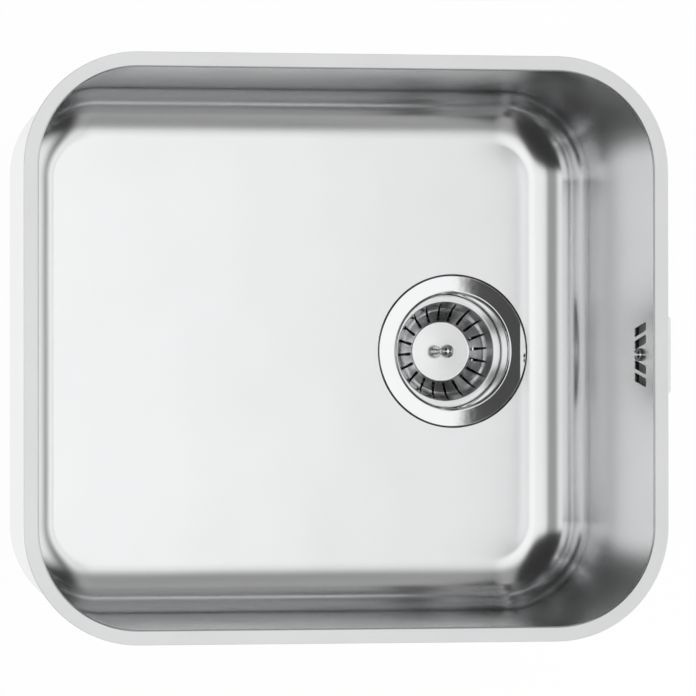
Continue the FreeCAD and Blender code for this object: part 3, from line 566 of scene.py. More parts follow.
class Skin:
    """Collects the points of one mesh, with the direction each faces, and its faces."""

    def __init__(self) -> None:
        """Start with nothing."""
        self.points: list[Vector] = []
        self.facing: list[Vector] = []
        self.faces: list[tuple[int, ...]] = []

    def row(self, points: Sequence[Vector], facing: Sequence[Vector]) -> list[int]:
        """Add a row of points and give their numbers."""
        start = len(self.points)
        self.points += points
        self.facing += facing
        return list(range(start, len(self.points)))

    def bridge(self, first: list[int], second: list[int], closed: bool = True) -> None:
        """Join two rows; a row of one point is a pole.

        Args:
            first: the first row of points.
            second: the second row, of the same length.
            closed: whether each row leads back to its start.
        """
        count = max(len(first), len(second))
        for i in range(count if closed else count - 1):
            j = (i + 1) % count
            face = [first[i % len(first)], first[j % len(first)],
                    second[j % len(second)], second[i % len(second)]]
            self.faces.append(tuple(dict.fromkeys(face)))

    def sweep(self, stations: Sequence[Station], section: Section, closed: bool = False) -> Rows:
        """Carry a profile round a section.

        Args:
            stations: the profile.
            section: what it is carried round.
            closed: whether the profile's end meets its start.

        Returns:
            The numbers of the points, row by row.
        """
        rows = [self.row(*section.ring(station)) for station in stations]
        pairs = list(zip(rows, rows[1:])) + ([(rows[-1], rows[0])] if closed else [])
        for first, second in pairs:
            self.bridge(first, second)
        return rows

    def patch(self, outer: list[int], holes: Rows, axes: tuple[int, int],
              inner: Sequence[int] = ()) -> list[tuple[int, ...]]:
        """Fill a loop, round its holes, with triangles.

        Args:
            outer: the loop's points in order.
            holes: the points of each hole's edge in order.
            axes: the two axes that the filling is worked out on.
            inner: loose points that the triangles use too.

        Returns:
            The new faces.
        """
        loops = [outer, *holes]
        numbers = [number for loop in loops for number in loop] + list(inner)
        flat = [Vector((self.points[n][axes[0]], self.points[n][axes[1]])) for n in numbers]
        edges, start = [], 0
        for loop in loops:
            edges += [(start + k, start + (k + 1) % len(loop)) for k in range(len(loop))]
            start += len(loop)
        corners, _, faces, sources, _, _ = delaunay_2d_cdt(flat, edges, [], 0, 1e-6)
        outlines = [[Vector((self.points[n][axes[0]], self.points[n][axes[1]])) for n in hole]
                    for hole in holes]
        made = []
        for face in faces:
            middle = sum((corners[c] for c in face), Vector((0, 0))) / len(face)
            if not any(encloses(hole, middle) for hole in outlines):
                made.append(tuple(numbers[sources[c][0]] for c in face))
        self.faces += made
        return made

    def pierce(self, outline: Sequence[Station], plate: Plate,
               bevel: float) -> tuple[list[int], list[int]]:
        """Line a hole through a plate, with both of its edges broken.

        Args:
            outline: the hole's closed outline in the plate's own two directions.
            plate: the plate.
            bevel: how much of each edge is broken.

        Returns:
            The rows where the hole's edges meet the front and the back skin.
        """
        rims = [station.moved(bevel) for station in outline]
        front = self.row(*zip(*(plate.front(s.out, s.up) for s in rims)))
        back = self.row(*zip(*(plate.back(s.out, s.up) for s in rims)))
        inward = [-plate.across(s.face_out, s.face_up) for s in outline]
        upper = self.row([plate.front(s.out, s.up)[0] + plate.through * bevel for s in outline], inward)
        lower = self.row([plate.back(s.out, s.up)[0] - plate.through * bevel for s in outline], inward)
        for first, second in ((front, upper), (upper, lower), (lower, back)):
            self.bridge(first, second)
        return front, back

    def take(self, other: "Skin", place: Matrix) -> None:
        """Add all that another skin collected, moved to its place."""
        start, turn = len(self.points), place.to_3x3()
        self.points += [place @ point for point in other.points]
        self.facing += [turn @ face for face in other.facing]
        self.faces += [tuple(number + start for number in face) for face in other.faces]

    def make(self, name: str, place: Matrix = Matrix()) -> bpy.types.Object:
        """Turn what was collected into an object.

        Args:
            name: the object's name.
            place: where its own frame lies in the sink's frame, in millimetres.

        Returns:
            The object, smooth, with the facings as its normals.
        """
        turn = place.to_3x3()
        points = [(place @ point) * MM for point in self.points]
        facing = [(turn @ face).normalized() for face in self.facing]
        faces = []
        for face in self.faces:
            middle = len(face) // 2
            normal = (points[face[middle]] - points[face[0]]).cross(
                points[face[-1]] - points[face[middle - 1]])
            outward = sum((facing[n] for n in face), Vector())
            faces.append(face if normal.dot(outward) >= 0 else tuple(reversed(face)))
        mesh = bpy.data.meshes.new(name)
        mesh.from_pydata(points, [], faces)
        mesh.polygons.foreach_set("use_smooth", [True] * len(faces))
        mesh.normals_split_custom_set_from_vertices(facing)
        piece = bpy.data.objects.new(name, mesh)
        bpy.context.scene.collection.objects.link(piece)
        return piece


def turned(name: str, path: Sequence[Station], place: Matrix, closed: bool = False,
           steps: int = 24) -> bpy.types.Object:
    """Turn a profile about its own upright axis and make the object."""
    skin = Skin()
    skin.sweep(path, Section(steps=steps), closed)
    return skin.make(name, place)


def encloses(outline: Sequence[Vector], point: Vector) -> bool:
    """Say whether a closed outline goes round a point.

    Args:
        outline: the outline's corners in order.
        point: the point to place.

    Returns:
        Whether the point lies inside.
    """
    inside = False
    for a, b in zip(outline, [*outline[1:], outline[0]]):
        if (a.y > point.y) != (b.y > point.y):
            if point.x < a.x + (point.y - a.y) * (b.x - a.x) / (b.y - a.y):
                inside = not inside
    return inside


def dress(piece: bpy.types.Object, finish: Finish, body: Rides, *stands_for: str) -> None:
    """Give a piece its finish, the body that it moves with and the nodes that it stands for.

    Args:
        piece: the piece.
        finish: its finish.
        body: the body that it moves with.
        stands_for: the nodes that it stands for.
    """
    piece.data.materials.clear()
    piece.data.materials.append(finish.material())
    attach(piece, body.value)
    if stands_for:
        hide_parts(*stands_for)
    log.info("%s: %d faces, %s", piece.name, len(piece.data.polygons), finish.slot)


# ---------------------------------------------------------------- the bowl


@dataclass
class Bowl:
    """The drawn steel bowl: flange, walls, cove, floor, drain recess and overflow slots."""

    opening_length: float = 450.0
    opening_width: float = 400.0
    corner_radius: float = 72.0
    flange_width: float = 11.0
    depth: float = 200.0
    sheet: float = 1.2
    draft: float = math.radians(2.0)
    rim_bend: float = 1.6
    cove_radius: float = 38.0
    edge_round: float = 0.3
    floor_start: float = 43.7
    drain_x: float = 123.0
    recess_depth: float = 2.5
    recess_foot_radius: float = 57.4
    recess_top_radius: float = 57.8
    recess_bend: float = 0.5
    recess_reach: float = 58.22
    recess_under_radius: float = 58.2
    hole_radius: float = 45.5
    overflow_y: float = -4.0
    overflow_z: float = -33.0
    slot_height: float = 28.0
    slot_width: float = 6.0
    slot_pitch: float = 9.2
    slot_lean: float = math.radians(9.7)
    slot_corner: float = 2.0
    slot_edge: float = 0.35
    screw_hole_radius: float = 3.2

    def shell(self) -> list[Station]:
        """Draw the sheet's outline from the floor's top face, over the rim, to its underside.

        Returns:
            The profile's points, from the first to the last.
        """
        fall = math.tan(self.draft)
        under = self.depth + self.sheet
        return rounded([
            (-self.floor_start, -self.depth, 0),
            (-self.depth * fall, -self.depth, self.cove_radius),
            (0, 0, self.rim_bend),
            (self.flange_width, 0, self.edge_round),
            (self.flange_width, -self.sheet, self.edge_round),
            (self.sheet * (1 - fall), -self.sheet, self.edge_round),
            (self.sheet - under * fall, -under, self.cove_radius + self.sheet),
            (-self.floor_start, -under, 0),
        ], step=4.0)

    def recess(self) -> list[Station]:
        """Draw the drain recess from the floor's underside, round the hole's edge, to its top.

        Returns:
            The profile's points, from the first to the last.
        """
        under = self.depth + self.sheet
        return rounded([
            (self.recess_under_radius, -under, 0),
            (self.recess_under_radius, -under - self.recess_depth, self.recess_bend),
            (self.hole_radius, -under - self.recess_depth, self.edge_round),
            (self.hole_radius, -self.depth - self.recess_depth, self.edge_round),
            (self.recess_foot_radius, -self.depth - self.recess_depth, self.recess_bend),
            (self.recess_top_radius, -self.depth, self.recess_bend),
            (self.recess_reach, -self.depth, 0),
        ])

    def end_wall(self) -> Plate:
        """Describe the flat of the wall behind the drain.

        Returns:
            The wall as a plate with two skins.
        """
        fall = math.tan(self.draft)
        inner = Vector((-1, 0, fall)).normalized()
        half = self.opening_length / 2
        return Plate(
            front=lambda y, z: (Vector((half + z * fall, y, z)), inner),
            back=lambda y, z: (Vector((half + self.sheet + z * fall, y, z)), -inner),
            across=lambda y, z: Vector((0, y, z)),
            through=Vector((1, 0, 0)),
        )

    def openings(self) -> list[list[Station]]:
        """Draw the four leaning slots and the screw's hole, clockwise in y and z.

        Returns:
            The outlines of the openings in the wall's plan.
        """
        low, high = self.overflow_z - self.slot_height / 2, self.overflow_z + self.slot_height / 2
        drawn = [disc((self.overflow_y, self.overflow_z), self.screw_hole_radius, 24)]
        for step in (-2, -1, 1, 2):
            middle = self.overflow_y + step * self.slot_pitch
            lean = math.copysign(self.slot_height / 2 * math.tan(self.slot_lean), step)
            half = self.slot_width / 2
            drawn.append(rounded([
                (middle - lean - half, low, self.slot_corner),
                (middle + lean - half, high, self.slot_corner),
                (middle + lean + half, high, self.slot_corner),
                (middle - lean + half, low, self.slot_corner),
            ], closed=True, step=15.0))
        return drawn

    def build(self) -> None:
        """Make the bowl's mesh and dress it."""
        skin = Skin()
        round_corners = Section(self.opening_length / 2 - self.corner_radius,
                                self.opening_width / 2 - self.corner_radius,
                                self.corner_radius, steps=24)
        stations = self.shell()
        rows = [skin.row(*round_corners.ring(station)) for station in stations]
        plate = self.end_wall()
        edges = [skin.pierce(outline, plate, self.slot_edge) for outline in self.openings()]
        for i, (first, second) in enumerate(zip(rows, rows[1:])):
            is_wall = abs(stations[i + 1].up - stations[i].up) > self.depth / 2
            skin.bridge(first, second, closed=not is_wall)
            if is_wall:
                inside = stations[i].face_out < 0
                holes = [front if inside else back for front, back in edges]
                skin.patch([first[0], second[0], second[-1], first[-1]], holes, (1, 2))
        round_drain = Section(centre=(self.drain_x, 0), steps=40)
        drain = skin.sweep(self.recess(), round_drain)
        skin.patch(rows[0], [drain[-1]], (0, 1))
        skin.patch(rows[-1], [drain[0]], (0, 1))
        dress(skin.make("drawn_bowl"), SATIN_STEEL, Rides.SINK, "bowl")


# ---------------------------------------------------------------- the strainer


@dataclass
class TurnedSide:
    """One side of a turned sheet, on which points of the plan are laid."""

    path: list[Station]

    def lay(self, x: float, y: float) -> tuple[Vector, Vector]:
        """Give the point of the sheet at a place of the plan, and its facing."""
        out = math.hypot(x, y)
        station = cut_at(self.path, out)
        return (Vector((x, y, station.up)),
                Vector((station.face_out * x / out, station.face_out * y / out, station.face_up)))


class FlatRing(NamedTuple):
    """A flat rubber ring with rounded edges, and the node that it stands for."""

    name: str
    node: str
    bore: float
    reach: float
    low: float
    high: float

    def profile(self) -> list[Station]:
        """Draw the ring's section."""
        soft = (self.high - self.low) / 3
        return rounded([(self.bore, self.high, soft), (self.reach, self.high, soft),
                        (self.reach, self.low, soft), (self.bore, self.low, soft)],
                       closed=True, step=18.0)


@dataclass
class Strainer:
    """The strainer cup with its lift-out basket, knob and stem.

    Heights are measured from the bowl's floor at the drain's axis.
    """

    drain_x: float = 123.0
    floor: float = -200.0
    cup_top: float = -0.3
    cup_flange_radius: float = 57.0
    cup_radius: float = 43.0
    cup_sheet: float = 1.0
    cup_bend: float = 2.5
    ledge_drop: float = 25.1
    ledge_width: float = 3.5
    foot_drop: float = 49.1
    foot_radius: float = 28.5
    foot_bend: float = 3.0
    bolt_hole_radius: float = 5.3
    cup_hole_radius: float = 3.6
    cup_hole_circle: float = 14.0
    cup_holes: int = 8
    cup_hole_edge: float = 0.15
    cup_floor_start: float = 20.6
    cup_floor_end: float = 8.4
    rim_radius: float = 42.0
    rim_drop: float = 24.0
    basket_sheet: float = 0.8
    mouth_radius: float = 37.3
    fold_radius: float = 33.0
    fold_drop: float = 34.5
    fold_bend: float = 14.0
    plate_radius: float = 22.3
    plate_drop: float = 42.0
    plate_rise: float = 0.15
    plate_bend: float = 2.2
    pin_radius: float = 2.5
    slots: int = 20
    slot_near: float = 24.5
    slot_far: float = 36.2
    slot_near_width: float = 2.4
    slot_far_width: float = 1.1
    slot_edge: float = 0.12
    slot_turn: float = 0.25
    slot_roundness: float = 0.95
    slot_spacing: float = 1.2
    band_start: float = 22.9
    band_end: float = 37.0
    band_rings: int = 12
    band_steps: int = 120
    band_clearance: float = 0.5
    knob_radius: float = 5.2
    knob_height: float = 22.0
    knob_cut: float = 3.64
    stem_top_radius: float = 4.0
    stem_foot_radius: float = 1.8
    stem_base_radius: float = 4.2
    stem_base_height: float = 1.0
    pin_neck: float = -45.3
    pin_shoulder_radius: float = 3.2
    pin_shoulder: float = -49.6
    pin_end: float = -64.2
    seal_bore: float = 12.0
    seal_radius: float = 26.0
    seal_foot: float = -48.8
    seal_lip_width: float = 6.0
    seal_lip_height: float = 2.6
    gaskets: tuple[FlatRing, ...] = (
        FlatRing("upper_ring_gasket", "flange_gasket", 46.5, 56.0, -2.5, -1.3),
        FlatRing("lower_ring_gasket", "body_gasket", 46.0, 53.0, -6.2, -3.7),
    )

    @property
    def place(self) -> Matrix:
        """Give the drain's own frame."""
        return Matrix.Translation((self.drain_x, 0, self.floor))

    def cup_shell(self) -> list[Station]:
        """Draw the cup's sheet from its floor's top face, over the flange, to its underside.

        Returns:
            The profile's points in order.
        """
        sheet, ledge = self.cup_sheet, self.cup_radius - self.ledge_width
        return rounded([
            (self.cup_floor_start, -self.foot_drop, 0),
            (self.foot_radius, -self.foot_drop, self.foot_bend),
            (ledge, -self.ledge_drop, 0.6),
            (self.cup_radius, -self.ledge_drop, 0.8),
            (self.cup_radius, self.cup_top, self.cup_bend),
            (self.cup_flange_radius, self.cup_top, 0.6),
            (self.cup_flange_radius, self.cup_top - sheet, 0.2),
            (self.cup_radius + sheet, self.cup_top - sheet, self.cup_bend - sheet),
            (self.cup_radius + sheet, -self.ledge_drop - sheet, 0.4),
            (ledge + sheet, -self.ledge_drop - sheet, 0.6),
            (self.foot_radius + sheet, -self.foot_drop - sheet, self.foot_bend + sheet),
            (self.cup_floor_start, -self.foot_drop - sheet, 0),
        ], step=7.0)

    def cup_hub(self) -> list[Station]:
        """Draw the edge of the bolt's hole from the floor's underside to its top face."""
        low, high = -self.foot_drop - self.cup_sheet, -self.foot_drop
        return rounded([
            (self.cup_floor_end, low, 0),
            (self.bolt_hole_radius, low, 0.2),
            (self.bolt_hole_radius, high, 0.2),
            (self.cup_floor_end, high, 0),
        ])

    def build_cup(self) -> None:
        """Turn the cup with its broad polished flange and pierce its floor."""
        skin = Skin()
        round_cup = Section(steps=36)
        shell = skin.sweep(self.cup_shell(), round_cup)
        hub = skin.sweep(self.cup_hub(), round_cup)
        upward = Vector((0, 0, 1))
        low, high = -self.foot_drop - self.cup_sheet, -self.foot_drop
        plate = Plate(
            front=lambda x, y: (Vector((x, y, high)), upward),
            back=lambda x, y: (Vector((x, y, low)), -upward),
            across=lambda x, y: Vector((x, y, 0)),
            through=-upward,
        )
        edges = []
        for hole in range(self.cup_holes):
            angle = 2 * math.pi * hole / self.cup_holes
            centre = (self.cup_hole_circle * math.cos(angle), self.cup_hole_circle * math.sin(angle))
            outline = disc(centre, self.cup_hole_radius, 24)
            edges.append(skin.pierce(outline, plate, self.cup_hole_edge))
        skin.patch(shell[0], [hub[-1]] + [front for front, _ in edges], (0, 1))
        skin.patch(shell[-1], [hub[0]] + [back for _, back in edges], (0, 1))
        dress(skin.make("polished_cup", self.place), POLISHED_STEEL, Rides.SINK, "strainer_cup")

    def basket_path(self) -> list[Station]:
        """Draw the basket's sheet: its top face from the pin outwards, then its underside.

        Returns:
            The profile's points in order.
        """
        sheet = self.basket_sheet
        return rounded([
            (self.pin_radius, -self.plate_drop + self.plate_rise, 0.15),
            (self.plate_radius, -self.plate_drop, self.plate_bend),
            (self.fold_radius, -self.fold_drop, self.fold_bend),
            (self.mouth_radius, -self.rim_drop, 1.0),
            (self.rim_radius, -self.rim_drop, 0.35),
            (self.rim_radius, -self.rim_drop - sheet, 0.35),
            (self.mouth_radius + sheet, -self.rim_drop - sheet, 0.6),
            (self.fold_radius + sheet, -self.fold_drop - sheet / 2, self.fold_bend + sheet),
            (self.plate_radius + sheet / 2, -self.plate_drop - sheet, self.plate_bend + sheet),
            (self.pin_radius, -self.plate_drop - sheet, 0.15),
        ], closed=True, step=5.0)

    def basket_slots(self) -> list[list[Station]]:
        """Draw the slots, each narrowing outwards, as a clockwise outline in plan.

        Returns:
            Each slot's outline in plan.
        """
        near, far = self.slot_near_width / 2, self.slot_far_width / 2
        drawn = []
        for slot in range(self.slots):
            angle = 2 * math.pi * (slot + self.slot_turn) / self.slots
            along, side = (math.cos(angle), math.sin(angle)), (-math.sin(angle), math.cos(angle))
            corners = ((self.slot_near - near, -near), (self.slot_near - near, near),
                       (self.slot_far + far, far), (self.slot_far + far, -far))
            outline = [(along[0] * a + side[0] * b, along[1] * a + side[1] * b,
                        self.slot_roundness * abs(b)) for a, b in corners]
            drawn.append(spaced(rounded(outline, closed=True, step=22.5), self.slot_spacing))
        return drawn

    def band_points(self, outlines: list[list[Vector]]) -> list[Vector]:
        """Spread points over the slotted band, clear of the slots.

        Args:
            outlines: the slots' outlines in plan.

        Returns:
            The points in plan.
        """
        spread = []
        for ring in range(1, self.band_rings):
            out = self.band_start + (self.band_end - self.band_start) * ring / self.band_rings
            for k in range(self.band_steps):
                angle = 2 * math.pi * (k + 0.5 * (ring % 2)) / self.band_steps
                spot = Vector((out * math.cos(angle), out * math.sin(angle)))
                near = any((corner - spot).length < self.band_clearance
                           for outline in outlines for corner in outline)
                if not near and not any(encloses(outline, spot) for outline in outlines):
                    spread.append(spot)
        return spread

    def build_basket(self) -> None:
        """Make the basket: rim and plate turned, and a slotted band between them."""
        path = self.basket_path()
        turn = max(range(len(path)), key=lambda i: path[i].out)
        top, under = path[:turn + 1], list(reversed(path[turn + 1:]))
        start, end = self.band_start, self.band_end
        rim = [cut_at(top, end)] + [s for s in path if s.out > end] + [cut_at(under, end)]
        first = next(i for i, s in enumerate(path) if s.out >= start)
        last = max(i for i, s in enumerate(path) if s.out >= start)
        hub = [cut_at(under, start)] + path[last + 1:] + path[:first] + [cut_at(top, start)]
        skin = Skin()
        round_basket = Section(steps=40)
        rim_rows = skin.sweep(rim, round_basket)
        hub_rows = skin.sweep(hub, round_basket)
        plate = Plate(TurnedSide(top).lay, TurnedSide(under).lay, lambda x, y: Vector((x, y, 0)),
                      Vector((0, 0, -1)))
        outlines = self.basket_slots()
        edges = [skin.pierce(outline, plate, self.slot_edge) for outline in outlines]
        spread = self.band_points([[Vector((s.out, s.up)) for s in outline] for outline in outlines])
        for side, outer, inner, pick in ((plate.front, rim_rows[0], hub_rows[-1], 0),
                                         (plate.back, rim_rows[-1], hub_rows[0], 1)):
            loose = skin.row(*zip(*(side(spot.x, spot.y) for spot in spread)))
            skin.patch(outer, [inner] + [edge[pick] for edge in edges], (0, 1), loose)
        dress(skin.make("slotted_basket", self.place), PRESSED_STEEL, Rides.BASKET,
              "strainer_basket")

    def build_knob(self) -> None:
        """Turn the ball and the flared stem that carries it."""
        centre = -self.plate_drop + self.knob_height
        flat = math.asin(self.knob_cut / self.knob_radius)
        angles = [math.pi / 2 - (math.pi / 2 + flat) * k / 24 for k in range(25)]
        ball = [Station(self.knob_radius * math.cos(a), centre + self.knob_radius * math.sin(a),
                        math.cos(a), math.sin(a)) for a in angles]
        neck = centre - self.knob_cut
        foot = [Station(ball[-1].out, neck, 0, -1), Station(0, neck, 0, -1)]
        dress(turned("ball_knob", ball + foot, self.place, steps=20),
              POLISHED_STEEL, Rides.BASKET, "basket_knob")
        base = -self.plate_drop + self.stem_base_height
        stem = rounded([
            (0, neck, 0),
            (self.stem_top_radius, neck, 0.4),
            (self.stem_foot_radius, base, 1.2),
            (self.stem_base_radius, base, 0.35),
            (self.stem_base_radius, -self.plate_drop, 0.1),
            (self.pin_radius, -self.plate_drop, 0.1),
            (self.pin_radius, self.pin_neck, 0.1),
            (self.pin_shoulder_radius, self.pin_neck, 0.1),
            (self.pin_shoulder_radius, self.pin_shoulder, 0.2),
            (self.pin_radius, self.pin_shoulder, 0.1),
            (self.pin_radius, self.pin_end, 0.5),
            (0, self.pin_end, 0),
        ])
        dress(turned("flared_stem", stem, self.place, steps=14),
              POLISHED_STEEL, Rides.BASKET, "knob_stem")

    def build_seal(self) -> None:
        """Mould the stopper ring with its rounded lip."""
        shelf = self.seal_foot + self.seal_lip_height
        top = -self.plate_drop - self.basket_sheet
        ring = rounded([
            (self.seal_bore, top, 0.4),
            (self.seal_radius - self.seal_lip_height, top, 0.5),
            (self.seal_radius, shelf, 0.9),
            (self.seal_radius - self.seal_lip_height / 3, self.seal_foot, 0.8),
            (self.seal_radius - self.seal_lip_width, self.seal_foot, 0.8),
            (self.seal_radius - self.seal_lip_width, shelf, 0.6),
            (self.seal_bore, shelf, 0.4),
        ], closed=True)
        dress(turned("stopper_ring", ring, self.place, closed=True, steps=28),
              SEAL_RUBBER, Rides.BASKET, "basket_seal")

    def build_gaskets(self) -> None:
        """Mould the flat rings above and below the bowl's floor."""
        for ring in self.gaskets:
            dress(turned(ring.name, ring.profile(), self.place, closed=True, steps=32),
                  RUBBER, Rides.SINK, ring.node)

    def build(self) -> None:
        """Make every piece of the strainer that shows."""
        self.build_cup()
        self.build_basket()
        self.build_knob()
        self.build_seal()
        self.build_gaskets()


# ---------------------------------------------------------------- the waste body


@dataclass
class Waste:
    """The moulded waste body: flange, stepped shell, threaded tail, side inlet, boss and ribs.

    Heights are measured from the bowl's floor at the drain's axis.
    """

    drain_x: float = 123.0
    floor: float = -200.0
    turn: float = math.radians(-1.97)
    top: float = -6.2
    bore: float = 46.0
    wall: float = 2.5
    flange_reach: float = 8.0
    flange_height: float = 4.0
    shoulder: float = -30.0
    waist_radius: float = 33.5
    waist_top: float = -56.0
    waist_foot: float = -66.0
    throat: float = -80.0
    neck_radius: float = 22.4
    neck_end: float = -88.0
    thread_pitch: float = 2.309
    thread_depth: float = 1.35
    tail_bore: float = 20.0
    tail_end: float = -112.0
    spigot_drop: float = -61.0
    spigot_root: float = 29.0
    spigot_end: float = 53.0
    spigot_radius: float = 10.0
    spigot_bore: float = 7.0
    collar_rise: float = 3.5
    collar_length: float = 3.0
    collar_taper_end: float = 9.0
    boss_near: float = 8.0
    boss_far: float = 10.5
    boss_top: float = -54.1
    boss_foot: float = -72.1
    ribs: int = 3
    rib_thickness: float = 2.5
    rib_foot: float = -69.6
    rib_top: float = -57.6

    @property
    def place(self) -> Matrix:
        """Give the body's own frame, turned so that its inlet faces the hose."""
        return (Matrix.Translation((self.drain_x, 0, self.floor))
                @ Matrix.Rotation(self.turn, 4, "Z"))

    def outside(self) -> list[Station]:
        """Draw the shell's outside from the flange's top face down to the thread.

        Returns:
            The profile's points in order.
        """
        rim, waist = self.bore + self.wall, self.waist_radius + self.wall
        reach = rim + self.flange_reach - self.wall
        return rounded([
            (self.bore, self.top, 0.4),
            (reach, self.top, 0.8),
            (reach, self.top - self.flange_height, 0.8),
            (rim, self.top - self.flange_height, 1.6),
            (rim, self.shoulder, 3.0),
            (waist, self.waist_top, 4.0),
            (waist, self.waist_foot, 4.0),
            (self.neck_radius, self.throat, 3.0),
            (self.neck_radius, self.neck_end, 0),
        ])[1:]

    def inside(self) -> list[Station]:
        """Draw the shell's inside from the tail's end up to the flange's top face.

        Returns:
            The profile's points in order.
        """
        return rounded([
            (self.neck_radius, self.tail_end, 0.3),
            (self.tail_bore, self.tail_end, 0.6),
            (self.tail_bore, self.throat + self.wall, 3.0),
            (self.waist_radius, self.waist_foot, 2.0),
            (self.waist_radius, self.waist_top, 2.0),
            (self.bore, self.shoulder, 2.0),
            (self.bore, self.top, 0.4),
            (self.bore + self.wall, self.top, 0.1),
        ])[1:-1]

    def thread(self, skin: Skin, steps: int) -> Rows:
        """Cut the tail's thread as one helix that runs out at both ends.

        Args:
            skin: the mesh that the thread belongs to.
            steps: how many points each turn has.

        Returns:
            The thread's rows, from its top down.
        """
        rows = []
        count = round((self.neck_end - self.tail_end) / self.thread_pitch * 8)
        for i in range(count + 1):
            height = self.neck_end + (self.tail_end - self.neck_end) * i / count
            run_in = min(1.0, (self.neck_end - height) / self.thread_pitch,
                         (height - self.tail_end) / self.thread_pitch)
            points, faces = [], []
            for k in range(steps):
                phase = 2 * math.pi * (height / self.thread_pitch + k / steps)
                radius = self.neck_radius + run_in * self.thread_depth * (0.5 + 0.5 * math.cos(phase))
                slope = run_in * self.thread_depth * math.sin(phase) * math.pi / self.thread_pitch
                angle = 2 * math.pi * k / steps
                points.append(Vector((radius * math.cos(angle), radius * math.sin(angle), height)))
                faces.append(Vector((math.cos(angle), math.sin(angle), slope)).normalized())
            rows.append(skin.row(points, faces))
        return rows

    def build(self) -> None:
        """Mould the body in one mesh: shell, thread, inlet, boss and ribs."""
        skin = Skin()
        steps = 24
        around = Section(steps=steps)
        upper = skin.sweep(self.outside(), around)
        middle = self.thread(skin, 4 * steps)
        lower = skin.sweep(self.inside(), around)
        skin.bridge(upper[-1], middle[0])
        for first, second in zip(middle, middle[1:]):
            skin.bridge(first, second)
        skin.bridge(middle[-1], lower[0])
        skin.bridge(lower[-1], upper[0])
        boss = rounded([
            (self.boss_near, self.boss_top, 0.3), (self.boss_far, self.boss_top, 0.6),
            (self.boss_far, self.boss_foot, 0.6), (self.boss_near, self.boss_foot, 0.3),
        ], closed=True)
        skin.sweep(boss, Section(steps=10), closed=True)
        skin.take(self.inlet(), Matrix.Translation((0, 0, self.spigot_drop))
                  @ Matrix.Rotation(math.pi / 2, 4, "Y"))
        for rib in range(self.ribs):
            turn = Matrix.Rotation(2 * math.pi * rib / self.ribs, 4, "Z")
            skin.take(self.rib(), turn)
        dress(skin.make("moulded_waste", self.place), WASTE_PLASTIC, Rides.SINK, "waste_body")

    def inlet(self) -> Skin:
        """Mould the side inlet, upright in its own frame, with a collar at its root.

        Returns:
            The inlet's skin.
        """
        collar = self.spigot_radius + self.collar_rise
        tube = rounded([
            (self.spigot_bore, self.spigot_end, 0.4),
            (self.spigot_radius, self.spigot_end, 0.8),
            (self.spigot_radius, self.spigot_root + self.collar_taper_end, 3.0),
            (collar, self.spigot_root + self.collar_length, 1.0),
            (collar, self.spigot_root, 0.4),
            (self.spigot_bore, self.spigot_root, 0.4),
        ], closed=True)
        inlet = Skin()
        inlet.sweep(tube, Section(steps=12), closed=True)
        return inlet

    def rib(self) -> Skin:
        """Mould one rib between the boss and the shell.

        Returns:
            The rib's skin.
        """
        near, far = self.boss_far - self.wall / 2, self.waist_radius + self.wall / 2
        section = Section((far - near) / 2 - 0.3, self.rib_thickness / 2 - 0.3, 0.3,
                          (-(near + far) / 2, 0), steps=2)
        path = rounded([(-0.2, self.rib_top, 0), (0, self.rib_top, 0.15),
                        (0, self.rib_foot, 0.15), (-0.2, self.rib_foot, 0)], step=30.0)
        rib = Skin()
        rows = rib.sweep(path, section)
        rib.patch(rows[0], [], (0, 1))
        rib.patch(rows[-1], [], (0, 1))
        return rib


# ---------------------------------------------------------------- the overflow


